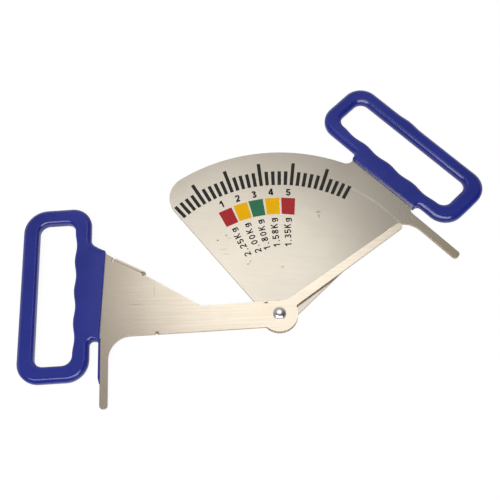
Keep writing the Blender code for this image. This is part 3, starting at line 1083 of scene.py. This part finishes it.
@dataclass
class PointerPlate(Plate):
    """Sheet with the pointer, an arm, a web with a stop tab, a leg and the left grip's loop."""

    web_angle: float = 123.6
    web_y: float = 53.5
    web_r: float = 8.0
    web_grip_r: float = 6.0
    pointer_angle: float = 236.96
    reading: float = 4.83
    back: float = -2.27
    taper: float = 0.0109
    length: float = 109.3
    tip_r: float = 2.1
    fillet: float = 16.0
    notch_r: float = 2.0
    tab_angle: float = 119.6
    tab_offset: float = 12.06
    tab_from: float = 98.4
    tab_to: float = 122.2
    bend_r: float = 1.5
    bend_steps: int = 10
    relief: float = 1.2
    relief_depth: float = 0.6

    @property
    def root(self) -> float:
        """Offset of the line where the tab leaves the web."""
        return self.tab_offset + self.bend_r + SHEET

    def tab_root(self) -> list[Corner]:
        """Corners at the tab's root, with a relief notch at each end.

        Returns:
            The (x, y, radius) corners.
        """
        web = (self.drawing.arm_back, self.web_y)
        across = self.tab_angle - 90
        bottom = self.root + self.relief_depth
        outer = self.tab_to + self.relief
        inner = self.tab_from - self.relief
        return [
            (*meet(web, self.web_angle, along(self.tab_angle, outer), across), 0.0),
            (*along(self.tab_angle, outer, bottom), 0.5),
            (*along(self.tab_angle, self.tab_to, bottom), 0.5),
            (*along(self.tab_angle, self.tab_to, self.root), 0.0),
            (*along(self.tab_angle, self.tab_from, self.root), 0.0),
            (*along(self.tab_angle, self.tab_from, bottom), 0.5),
            (*along(self.tab_angle, inner, bottom), 0.5),
            (*meet(web, self.web_angle, along(self.tab_angle, inner), across), 0.0),
        ]

    def edge(self, offset: float, closing: float, distance: float) -> Point:
        """Point on one edge of the pointer.

        Args:
            offset: Offset of the edge at the pivot.
            closing: How fast it closes on the middle line.
            distance: Distance from the pivot.

        Returns:
            The point.
        """
        return along(self.pointer_angle, distance, offset - closing * distance)

    def outline(self) -> Outline:
        """Outline of the sheet, anticlockwise.

        Returns:
            The points in order.
        """
        d = self.drawing
        web = (d.arm_back, self.web_y)
        web_top = meet(web, self.web_angle, (0.0, self.near_y), 0.0)
        reading_angle = self.pointer_angle + degrees(self.taper)
        arm_end = meet((d.arm_back, 0.0), 90.0, self.edge(self.reading, self.taper, 0.0),
                       reading_angle)
        points = d.foot_and_grip()
        start = points.pop()
        corners = [(*start, 0.0), (*web_top, self.web_grip_r)] + self.tab_root()
        corners += [(*web, self.web_r), (d.arm_back, d.back_nick + 5.0, 0.0)]
        points += rounded(corners)
        points += d.nick(d.arm_back, d.back_nick, -1)
        hub_x = sqrt(d.hub_r ** 2 - self.back ** 2)
        hub_corner = self.edge(self.back, -self.taper, hub_x)
        past = degrees(atan2(hub_corner[1], hub_corner[0]) + self.notch_r / d.hub_r) + 360
        on_hub = (d.hub_r * cos(radians(past)), d.hub_r * sin(radians(past)))
        points += rounded([
            (*points[-1], 0.0),
            (*arm_end, self.fillet),
            (*self.edge(self.reading, self.taper, self.length), self.tip_r),
            (*self.edge(self.back, -self.taper, self.length), self.tip_r),
            (*hub_corner, self.notch_r),
            (*on_hub, 0.0),
        ])[1:]
        end = 360 + degrees(acos(d.arm_foot / d.hub_r))
        return points + arc((0, 0), d.hub_r, past, end)[1:-1]

    def drop_tab(self, bm: bmesh.types.BMesh, low: float) -> None:
        """Bend the stop tab down from its root.

        Args:
            bm: Mesh of the sheet, in drawing millimetres.
            low: Height of the sheet's underside.
        """
        ends = [along(self.tab_angle, s, self.root) for s in (self.tab_from, self.tab_to)]
        middle = (Vector(ends[0]) + Vector(ends[1])) / 2
        target = Vector((middle.x, middle.y, low + SHEET / 2))
        face = min(bm.faces, key=lambda f: (f.calc_center_median() - target).length)
        first, second = (Vector((x, y, low - self.bend_r)) for x, y in ends)
        axis = (second - first).normalized()
        if axis.cross(face.normal).z > 0:
            axis.negate()
        turn = Matrix.Rotation(radians(90 / self.bend_steps), 3, axis)
        for step in range(self.bend_steps + 1):
            face = bmesh.ops.extrude_discrete_faces(bm, faces=[face])["faces"][0]
            if step < self.bend_steps:
                bmesh.ops.rotate(bm, verts=face.verts, cent=first, matrix=turn)
            else:
                bmesh.ops.translate(bm, verts=face.verts, vec=(0.0, 0.0, self.bend_r - low))

    def build(self) -> bpy.types.Object:
        """Build the sheet in place of its CAD node.

        Returns:
            The piece.
        """
        bm = self.blank(self.outline(), Half.POINTER.low)
        self.drop_tab(bm, Half.POINTER.low)
        burn = (0.10, 0.06, 0.035)
        warm_tone = (0.74, 0.60, 0.42)
        grey = (0.42, 0.39, 0.36)
        painted_shade_tone = (0.66, 0.575, 0.49)
        marks_and_shade = (
            # Painted shade: a wide soft darker patch over the left jaw leg stands in for the leg
            # reflecting less light.
            StainOrShade(-122.0, -62.0, 50.0, 104.0, painted_shade_tone, 0.85, 1.0),
            # A warmer, darker soft patch over the hub, above and to the left of the pivot.
            StainOrShade(-6.0, 2.5, 10.0, 8.0, warm_tone, 0.32, 1.0),
            StainOrShade(-8.9, 8.2, 2.1, 1.0, burn, 0.85),
            StainOrShade(-82.9, -10.4, 2.0, 1.3, burn, 0.75),
            StainOrShade(-93.7, 33.9, 1.7, 1.7, burn, 0.80),
            StainOrShade(-85.6, 20.4, 0.45, 5.5, grey, 0.45),
            StainOrShade(-98.5, 10.6, 6.5, 0.45, grey, 0.45),
            StainOrShade(-108.0, 37.5, 5.0, 2.2, warm_tone, 0.20, 1.0),
        )
        finish = Stainless("stainless_pointer", lean=(-0.022, -0.004), stains_and_shade=marks_and_shade).material()
        made = place("pointer_sheet", bm, Half.POINTER.placing, Half.POINTER.body, finish)
        round_edges(made, self.edge_round)
        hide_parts("pointer_plate")
        return made


@dataclass(frozen=True)
class Lump:
    """Thick place in a coat's rim: where it is, how high and how wide."""

    x: float
    y: float
    height: float
    width: float


# Section of a coat's rim from its flat to its wall: inset and drop, as shares of its rounding.
RIM = ((2.0, 0.0), (1.7, 0.0), (1.5, 0.04), (1.3, 0.13), (1.0, 0.31), (0.7, 0.51), (0.4, 0.74),
       (0.2, 0.95), (0.07, 1.2), (0.0, 1.5))


@dataclass
class Grip:
    """Dip-coated loop grip."""

    name: str
    node: str
    half: Half
    drawing: LoopDrawing
    far_end: Point
    slot_edge: Point
    neck_angle: float
    neck_r: float
    thick: float = 7.2
    round_r: float = 1.75
    window_round: float = 1.7
    lip_round: float = 0.36
    lip_reach: float = 0.8
    lip_fade: float = 4.5
    lip_end_r: float = 0.6
    longest_run: float = 4.0
    corner_rs: tuple[float, float, float, float] = (15.0, 15.0, 15.0, 15.0)
    slot_fillet: float = 2.9
    lumps: tuple[Lump, ...] = ()

    def outline(self) -> Outline:
        """Outline of the coat, anticlockwise.

        Returns:
            The points in order.
        """
        low, high = self.drawing.corners(self.drawing.grip_length, self.drawing.grip_width, 0.0)
        neck = meet(self.far_end, self.neck_angle, low, 0.0)
        points = rounded([
            (*self.slot_edge, self.lip_end_r),
            (self.slot_edge[0], low[1], self.slot_fillet),
            (high[0], low[1], self.corner_rs[0]),
            (high[0], high[1], self.corner_rs[1]),
            (low[0], high[1], self.corner_rs[2]),
            (low[0], low[1], self.corner_rs[3]),
            (*neck, self.neck_r),
            (*self.far_end, self.lip_end_r),
        ], closed=True)
        return [self.swollen(p) for p in self.filled(points)]

    def filled(self, points: Outline) -> Outline:
        """Split the long straight runs of an outline, so that lumps have points to move.

        Args:
            points: The outline.

        Returns:
            The outline with more points.
        """
        made: Outline = []
        for i, point in enumerate(points):
            after = points[(i + 1) % len(points)]
            gap = (Vector(after) - Vector(point)).length
            count = max(1, ceil(gap / self.longest_run))
            for k in range(count):
                t = k / count
                made.append((point[0] + (after[0] - point[0]) * t,
                             point[1] + (after[1] - point[1]) * t))
        return made

    def swollen(self, point: Point) -> Point:
        """Move a point of the rim out where the coat is thick.

        Args:
            point: The point.

        Returns:
            The moved point.
        """
        middle = Vector((self.drawing.grip_x, self.drawing.grip_y))
        here = Vector(point)
        for lump in self.lumps:
            near = (here - Vector((lump.x, lump.y))).length
            push = lump.height * exp(-(near / lump.width) ** 2)
            here += (here - middle).normalized() * push
        return tuple(here)

    def softness(self, point: Point) -> float:
        """Rounding of the rim at a point: small along the lip where the coat ends on the sheet.

        Args:
            point: The point.

        Returns:
            The radius of the rounding.
        """
        start, end = Vector(self.far_end), Vector(self.slot_edge)
        along_lip = (end - start).normalized()
        here = Vector(point) - start
        reach = min(max(here.dot(along_lip), 0.0), (end - start).length)
        away = (here - along_lip * reach).length
        share = min(max((away - self.lip_reach) / self.lip_fade, 0.0), 1.0)
        return self.lip_round + (self.round_r - self.lip_round) * share

    def build(self, finish: bpy.types.Material) -> bpy.types.Object:
        """Build the coat as a loft of rings.

        Args:
            finish: Its material.

        Returns:
            The piece.
        """
        half = self.thick / 2
        middle = self.half.middle
        levels = [(inset, drop, 1) for inset, drop in RIM]
        levels += [(inset, drop, -1) for inset, drop, _ in reversed(levels)]
        outline = self.outline()
        window = self.drawing.window(0.0)[::-1]
        bm = bmesh.new()
        rims = []
        for points, radii in ((outline, [self.softness(p) for p in outline]),
                              (window, [self.window_round] * len(window))):
            rings = []
            for inset, drop, side in levels:
                ring = moved_inwards(points, [inset * radius for radius in radii])
                rings.append([bm.verts.new((x, y, middle + side * (half - drop * radius)))
                              for (x, y), radius in zip(ring, radii)])
            join_rings(bm, rings)
            rims.append((rings[0], rings[-1]))
        for outer, inner in zip(rims[0], rims[1]):
            edges = []
            for ring in (outer, inner):
                edges += [bm.edges.get((a, b)) for a, b in zip(ring, ring[1:] + ring[:1])]
            bmesh.ops.triangle_fill(bm, use_beauty=True, edges=edges)
        bmesh.ops.recalc_face_normals(bm, faces=bm.faces)
        made = place(self.name, bm, self.half.placing, self.half.body, finish, smooth=60.0)
        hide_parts(self.node)
        return made


@dataclass
class LegRun:
    """Thin run of coat down the far edge of the left leg."""

    drawing: LoopDrawing
    finish: bpy.types.Material
    end: float = 41.0
    taper: float = 4.0
    tip: float = 0.35
    thick: float = 1.3
    height: float = 2.3
    fillet: float = 2.3
    top: float = 127.0
    wall: float = 1.05
    sunk: float = 0.2
    end_r: float = 0.3
    taper_r: float = 3.0

    def build(self) -> bpy.types.Object:
        """Build the run as one rounded strip.

        Returns:
            The piece.
        """
        d = self.drawing
        wall = d.slot_end + self.wall
        inner = d.slot_end - self.sunk
        low = d.leg_far - self.sunk
        outline = rounded([
            (wall, self.top, 0.0),
            (inner, self.top, 0.0),
            (inner, low, 0.0),
            (self.end, low, 0.0),
            (self.end, d.leg_far + self.tip, self.end_r),
            (self.end - self.taper, d.leg_far + self.thick, self.taper_r),
            (wall, d.leg_far + self.thick, self.fillet),
        ], closed=True)
        middle = Half.POINTER.middle
        bm = sheet([outline], middle - self.height / 2, middle + self.height / 2)
        made = place("leg_coat_run", bm, Half.POINTER.placing, Half.POINTER.body, self.finish)
        round_edges(made, 0.7, 4)
        return made


@dataclass
class DialPrint:
    """Screen print on the dial: the scale, the zones and their numbers."""

    height: float = 4.6
    lift: float = 0.03
    first_tick: float = 129.87
    tick_pitch: float = 2.4938
    ticks: int = 29
    tick_width: float = 2.55
    tick_inner: float = 100.4
    tick_outer: float = 111.8
    long_outer: float = 118.9
    digit_height: float = 5.5
    digit_stroke: float = 1.2
    mark_height: float = 4.8
    mark_stroke: float = 0.86

    @property
    def level(self) -> float:
        """Height of the print, in millimetres."""
        return self.height + self.lift

    def polygon(self, bm: bmesh.types.BMesh, points: list[Point]) -> None:
        """Add a flat printed area.

        Args:
            bm: Mesh to add it to.
            points: Its corners in the row frame, in millimetres.
        """
        bm.faces.new([bm.verts.new((x, y, self.level)) for x, y in points])

    def piece(self, name: str, bm: bmesh.types.BMesh, ink: Ink) -> None:
        """Place printed areas on the dial.

        Args:
            name: Name of the piece.
            bm: Its mesh.
            ink: Its ink.
        """
        bm.normal_update()
        for face in bm.faces:
            if face.normal.z < 0:
                face.normal_flip()
        place(name, bm, ROW, Half.SECTOR.body, ink.material())

    def scale(self) -> None:
        """Print the ticks."""
        bm = bmesh.new()
        half = self.tick_width / 2
        for i in range(self.ticks):
            angle = self.first_tick - self.tick_pitch * i
            outer = self.long_outer if i % 5 == 4 else self.tick_outer
            points = [along(angle, self.tick_inner, half), along(angle, outer, half),
                      along(angle, outer, -half), along(angle, self.tick_inner, -half)]
            self.polygon(bm, points)
        self.piece("scale_ticks", bm, Ink("ink_black", (0.027, 0.027, 0.028), 0.02))

    def zones(self) -> None:
        """Print the coloured blocks: outer left and right, inner left and right angles, radii."""
        red = Ink("ink_red", (0.375, 0.029, 0.033))
        yellow = Ink("ink_yellow", (0.80, 0.42, 0.003))
        green = Ink("ink_green", (0.036, 0.162, 0.088))
        blocks = (
            ("zone_1", red, (116.9, 110.4, 117.1, 110.1), (76.2, 89.1)),
            ("zone_2", yellow, (109.3, 102.7, 109.4, 102.4), (76.4, 89.5)),
            ("zone_3", green, (102.0, 95.2, 101.7, 94.9), (76.5, 89.8)),
            ("zone_4", yellow, (94.1, 87.5, 94.2, 87.1), (76.8, 89.9)),
            ("zone_5", red, (86.6, 80.1, 86.2, 79.3), (76.8, 90.0)),
        )
        for name, ink, (outer_left, outer_right, inner_left, inner_right), (low, high) in blocks:
            bm = bmesh.new()
            self.polygon(bm, [along(outer_left, high), along(inner_left, low),
                              along(inner_right, low), along(outer_right, high)])
            self.piece(name, bm, ink)

    def glyph(self, sign: str, half: float) -> list[Outline]:
        """Middle lines of one figure, for a capital of height 1 and centred on x = 0.

        Args:
            sign: The figure.
            half: Half the width of its stroke.

        Returns:
            The lines.
        """
        wide = 0.325 - half
        low = 0.275 - half
        full = oval((0.0, 0.5), wide, 0.5 - half, 0, 360)
        lower = oval((0.0, low + half), wide, low, 0, 360)
        upper = oval((0.0, 0.755), wide - 0.02, 0.245 - half, 0, 360)
        signs = {
            "0": [full],
            "1": [[(0.145, 0.0), (0.145, 1.0)],
                  [(-0.18, 0.72), (-0.04, 0.745), (0.06, 0.82), (0.11, 0.95)]],
            "2": [oval((0.0, 0.70), wide, 0.30 - half, 170, -22)
                  + [(0.10, 0.44), (-0.14, 0.24), (-wide, half), (wide + 0.02, half)]],
            "3": [oval((-0.01, 0.755), wide - 0.02, 0.245 - half, 158, -105),
                  oval((0.0, low + half), wide, low, 105, -155)],
            "4": [[(0.15, 0.0), (0.15, 1.0)], [(0.11, 0.95), (-wide - 0.02, 0.31)],
                  [(-wide - 0.08, 0.29), (wide + 0.13, 0.29)]],
            "5": [[(wide, 1.0 - half), (0.03 - wide, 1.0 - half), (0.01 - wide, 0.47)],
                  oval((-0.01, 0.325), wide + 0.01, 0.325 - half, 146, -156)],
            "8": [lower, upper],
            "K": [[(-0.235, 0.0), (-0.235, 1.0)], [(0.27, 1.0), (-0.22, 0.40)],
                  [(-0.07, 0.60), (0.30, 0.0)]],
            "g": [oval((-0.04, 0.42), 0.29 - half, 0.31 - half, 0, 360),
                  [(0.25, 0.73), (0.25, 0.02), (0.21, half - 0.14), (0.08, half - 0.19),
                   (-0.14, half - 0.19), (-0.27, half - 0.13)]],
            ".": [[(0.0, 0.0), (0.0, 2 * half)]],
        }
        return signs[sign]

    def stroke(self, bm: bmesh.types.BMesh, points: Outline, width: float) -> None:
        """Print one stroke of a figure.

        Args:
            bm: Mesh to add it to.
            points: Its middle line in the row frame.
            width: Its width.
        """
        sides = []
        for i, point in enumerate(points):
            here = Vector(point)
            before = (here - Vector(points[max(i - 1, 0)])).normalized()
            after = (Vector(points[min(i + 1, len(points) - 1)]) - here).normalized()
            way = (before + after).normalized()
            share = max(way.dot(after if i == 0 else before), 0.5)
            reach = Vector((-way.y, way.x)) * width / 2 / share
            pair = (here + reach, here - reach)
            sides.append([bm.verts.new((side.x, side.y, self.level)) for side in pair])
        for first, second in zip(sides, sides[1:]):
            bm.faces.new((first[0], first[1], second[1], second[0]))

    def line(self, bm: bmesh.types.BMesh, signs: dict[float, str], centre: Point, turn: float,
             cap: float, width: float) -> None:
        """Add a line of figures to a print.

        Args:
            bm: Mesh to add it to.
            signs: Each figure by its place along the line.
            centre: Centre of the line in the row frame, half way up a capital.
            turn: Direction of the line, in degrees.
            cap: Height of a capital.
            width: Width of a stroke.
        """
        matrix = Matrix.Translation((*centre, 0.0)) @ Matrix.Rotation(radians(turn), 4, "Z")
        for offset, sign in signs.items():
            for points in self.glyph(sign, width / 2 / cap):
                placed = [matrix @ Vector((offset + x * cap, (y - 0.5) * cap, 0.0))
                          for x, y in points]
                self.stroke(bm, [(p.x, p.y) for p in placed], width)

    def figures(self) -> None:
        """Print the zone numbers and the weights below the zones."""
        ink = Ink("ink_figures", (0.021, 0.020, 0.020), 0.02)
        bm = bmesh.new()
        for sign, angle, radius, aside in (
                ("1", 113.4, 94.35, -0.8), ("2", 106.2, 94.3, 0.0), ("3", 98.8, 94.3, 0.05),
                ("4", 91.3, 94.75, 0.02), ("5", 83.5, 94.5, 0.05)):
            self.line(bm, {aside: sign}, along(angle, radius), angle - 90, self.digit_height,
                      self.digit_stroke)
        self.piece("zone_numbers", bm, ink)
        bm = bmesh.new()
        for text, places, centre, turn in (
                ("2.25Kg", (-10.8, -7.3, -4.0, 0.2, 4.75, 10.05), (-25.07, 55.94), 115.7),
                ("2.00Kg", (-11.1, -7.57, -4.2, 0.27, 5.0, 10.05), (-16.70, 58.96), 109.9),
                ("1.80Kg", (-11.3, -7.64, -4.1, 0.25, 4.6, 9.98), (-8.68, 61.07), 101.6),
                ("1.58Kg", (-10.7, -7.1, -4.07, 0.14, 4.45, 9.45), (-0.27, 62.48), 94.6),
                ("1.35Kg", (-10.85, -7.34, -4.1, -0.1, 3.9, 8.8), (8.77, 62.75), 89.4)):
            self.line(bm, dict(zip(places, text)), centre, turn, self.mark_height,
                      self.mark_stroke)
        self.piece("weight_marks", bm, ink)

    def build(self) -> None:
        """Print everything."""
        self.scale()
        self.zones()
        self.figures()


@dataclass
class Pivot:
    """Domed post, washers and the peened rear end."""

    post_r: float = 3.0
    head_r: float = 4.5
    head_low: float = 7.55
    head_h: float = 2.05
    fullness: float = 0.93
    rim: float = 0.35
    shoulder: float = 1.65
    tail_r: float = 2.2
    flare_r: float = 2.9
    flare_h: float = 0.7
    dome_steps: int = 28
    broken: float = 0.12
    flare_broken: float = 0.15
    body: str = Half.SECTOR.body

    def post(self) -> None:
        """Build the post."""
        dome = self.head_h - self.rim
        rise = self.head_low + self.rim
        tilts = [pi / 2 * i / self.dome_steps for i in range(1, self.dome_steps + 1)]
        profile = [(0.0, rise + dome)]
        profile += [(self.head_r * sin(a) ** self.fullness, rise + dome * cos(a) ** self.fullness)
                    for a in tilts]
        profile += [
            (self.head_r, self.head_low + self.broken), (self.head_r - self.broken, self.head_low),
            (self.post_r, self.head_low), (self.post_r, self.shoulder),
            (self.tail_r, self.shoulder), (self.tail_r, self.flare_h),
            (self.flare_r, self.broken), (self.flare_r - self.flare_broken, 0.0), (0.0, 0.0),
        ]
        finish = Polished("polished_stainless", roughness=0.14).material()
        made = place("pivot_dome", turned(profile), ROW, self.body, finish)
        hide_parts("pivot_post")

    def ring(self, name: str, node: str, slot: str, finish: bpy.types.Material,
             sizes: tuple[float, float, float, float], chamfer: float) -> None:
        """Build a flat washer with broken edges.

        Args:
            name: Name of the piece.
            node: The CAD node that it stands for.
            slot: Material slot of the record.
            finish: Its material.
            sizes: Bore radius, outer radius, low side and high side.
            chamfer: Width of the broken edges.
        """
        bore, outer, low, high = sizes
        profile = [
            (bore + chamfer, low), (bore, low + chamfer), (bore, high - chamfer),
            (bore + chamfer, high), (outer - chamfer, high), (outer, high - chamfer),
            (outer, low + chamfer), (outer - chamfer, low),
        ]
        made = place(name, turned(profile), ROW, self.body, finish)
        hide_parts(node)

    def wave(self, finish: bpy.types.Material) -> None:
        """Build the wave washer.

        Args:
            finish: Its material.
        """
        sides, bore, outer, low, thick, swing = 96, 3.3, 5.5, 1.65, 0.35, 0.225
        bm = bmesh.new()
        rings = []
        for radius, lift in ((bore, 0), (outer, 0), (outer, 1), (bore, 1)):
            ring = []
            for i in range(sides):
                a = 2 * pi * i / sides
                height = low + swing * (1 + sin(3 * a)) + thick * lift
                ring.append(bm.verts.new((radius * cos(a), radius * sin(a), height)))
            rings.append(ring)
        join_rings(bm, rings, closed=True)
        bmesh.ops.recalc_face_normals(bm, faces=bm.faces)
        made = place("wave_washer", bm, ROW, self.body, finish)
        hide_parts("spring_washer")

    def build(self) -> None:
        """Build the post and its washers."""
        self.post()
        self.ring("slide_washer", "thrust_washer", "white_nylon", Nylon().material(),
                  (3.1, 10.5, 4.75, 5.25), 0.08)
        steel = Polished("washer_steel", (0.70, 0.68, 0.64), 0.3).material()
        self.ring("back_washer", "rear_washer", "stainless_sheet", steel,
                  (3.05, 5.5, 0.1, 1.5), 0.15)
        self.wave(Polished("spring_steel", (0.55, 0.55, 0.56), 0.25).material())


# Studio


@dataclass
class Studio:
    """Camera, lights, floor and background."""

    focal: float = 816.16
    size: float = 500.0
    turn: Corner = (2.725, -0.0514, -0.0285)
    shift: Corner = (19.83, 44.24, 557.56)
    mid_height: float = 3.6
    half_pixel: float = 0.5
    floor_half: float = 6.0
    floor_drop: float = 0.0002

    def camera(self) -> None:
        """Place the camera where the photograph was taken from."""
        turn = Vector(self.turn)
        matrix = Matrix.Rotation(turn.length, 3, turn.normalized())
        place_mm = -(matrix.transposed() @ Vector(self.shift))
        place_mm.z += self.mid_height
        data = bpy.data.cameras.new("photo_camera")
        data.sensor_width = SENSOR
        data.lens = self.focal / self.size * SENSOR
        data.shift_x = -self.half_pixel / self.size
        data.shift_y = self.half_pixel / self.size
        data.clip_start = 0.01
        data.clip_end = 20.0
        camera = bpy.data.objects.new("photo_camera", data)
        pose = (matrix.transposed() @ Matrix.Diagonal((1.0, -1.0, -1.0))).to_4x4()
        pose.translation = place_mm * MM
        camera.matrix_world = pose
        bpy.context.scene.collection.objects.link(camera)
        bpy.context.scene.camera = camera

    def softbox(self, name: str, spot: Corner, size: Point, watts: float,
                colour: Colour = (1.0, 1.0, 1.0), shape: str = "RECTANGLE") -> None:
        """Add an area lamp.

        Args:
            name: Name of the lamp.
            spot: Where it hangs; it faces the pivot.
            size: Its width and height.
            watts: Its power.
            colour: Its colour.
            shape: Its shape.
        """
        data = bpy.data.lights.new(name, "AREA")
        data.shape = shape
        data.size, data.size_y = size
        data.energy = watts
        data.color = colour
        lamp = bpy.data.objects.new(name, data)
        lamp.location = spot
        lamp.rotation_euler = (-Vector(spot)).to_track_quat("-Z", "Y").to_euler()
        bpy.context.scene.collection.objects.link(lamp)

    def floor(self) -> None:
        """Lay the pale floor."""
        bm = bmesh.new()
        bmesh.ops.create_grid(bm, x_segments=1, y_segments=1, size=self.floor_half)
        mesh = bpy.data.meshes.new("floor")
        bm.to_mesh(mesh)
        bm.free()
        made, graph, shader = new_material("pale_floor", {"Roughness": 0.9,
                                           "Specular IOR Level": 0.1})
        shader.inputs["Base Color"].default_value = (0.86, 0.86, 0.86, 1.0)
        path = graph.add("ShaderNodeLightPath")
        mirrored = graph.math("MULTIPLY", path.outputs["Is Glossy Ray"], 0.3)
        seen = graph.math("MAXIMUM", path.outputs["Is Camera Ray"], mirrored)
        seen = graph.math("MAXIMUM", seen, path.outputs["Is Transmission Ray"])
        glow = graph.add("ShaderNodeEmission", {0: WHITE, 1: 1.04})
        mixed = graph.add("ShaderNodeMixShader", {0: graph.math("MULTIPLY", seen, 0.88),
                          1: shader.outputs[0], 2: glow.outputs[0]})
        out = made.node_tree.nodes["Material Output"]
        graph.feed(out, {"Surface": mixed.outputs[0]})
        mesh.materials.append(made)
        floor = bpy.data.objects.new("floor", mesh)
        floor.location.z = -self.floor_drop
        bpy.context.scene.collection.objects.link(floor)

    def world(self) -> None:
        """Set the background."""
        world = bpy.data.worlds.new("studio")
        world.use_nodes = True
        graph = Graph(world.node_tree)
        back = world.node_tree.nodes["Background"]
        direction = graph.add("ShaderNodeTexCoord").outputs["Generated"]
        height = graph.add("ShaderNodeSeparateXYZ", {0: direction}).outputs[2]
        turned_away = graph.vector("DOT_PRODUCT", direction, (0.35, -0.94, 0.0))
        ceiling = graph.blend(graph.span(turned_away, -0.70, 0.05), (0.48, 0.46, 0.44, 1.0),
                              (0.10, 0.093, 0.086, 1.0))
        colour = graph.blend(graph.span(height, 0.05, 0.35), WHITE, ceiling)
        graph.feed(back, {0: colour})
        bpy.context.scene.world = world

    def build(self) -> None:
        """Build the studio."""
        self.camera()
        self.softbox("key", (-0.03, 0.54, 1.30), (0.66, 0.60), 1.20,
                     (1.0, 0.99, 0.975), "ELLIPSE")
        self.softbox("front", (-0.12, -0.62, 1.35), (1.8, 0.78), 22.5)
        self.floor()
        self.world()
        bpy.context.scene.view_settings.view_transform = "Standard"


def main() -> None:
    """Build the caliper and the studio round it."""
    right = LoopDrawing(leg_near=116.05, foot_fillet=17.3, window_length=104.7, window_x=-0.3)
    left = LoopDrawing(arm_foot=9.05, leg_near=116.6)
    SectorPlate(right).build()
    PointerPlate(left).build()
    coat = DipCoat().material()
    Grip("right_grip", "sector_grip", Half.SECTOR, right, (-47.7, 124.4), (11.0, 125.6),
         90.0, 4.2, lumps=(Lump(-38.3, 178.5, 1.1, 6.0), Lump(38.5, 177.6, 0.7, 14.0),
                           Lump(38.6, 153.5, 0.8, 16.0))).build(coat)
    Grip("left_grip", "pointer_grip", Half.POINTER, left, (-53.9, 118.9), (11.0, 122.4),
         123.6, 6.5, corner_rs=(15.0, 15.0, 16.8, 13.9), round_r=1.6,
         window_round=1.0, slot_fillet=3.2).build(coat)
    LegRun(left, coat).build()
    DialPrint().build()
    Pivot().build()
    Studio().build()


if __name__ == "__main__":
    main()
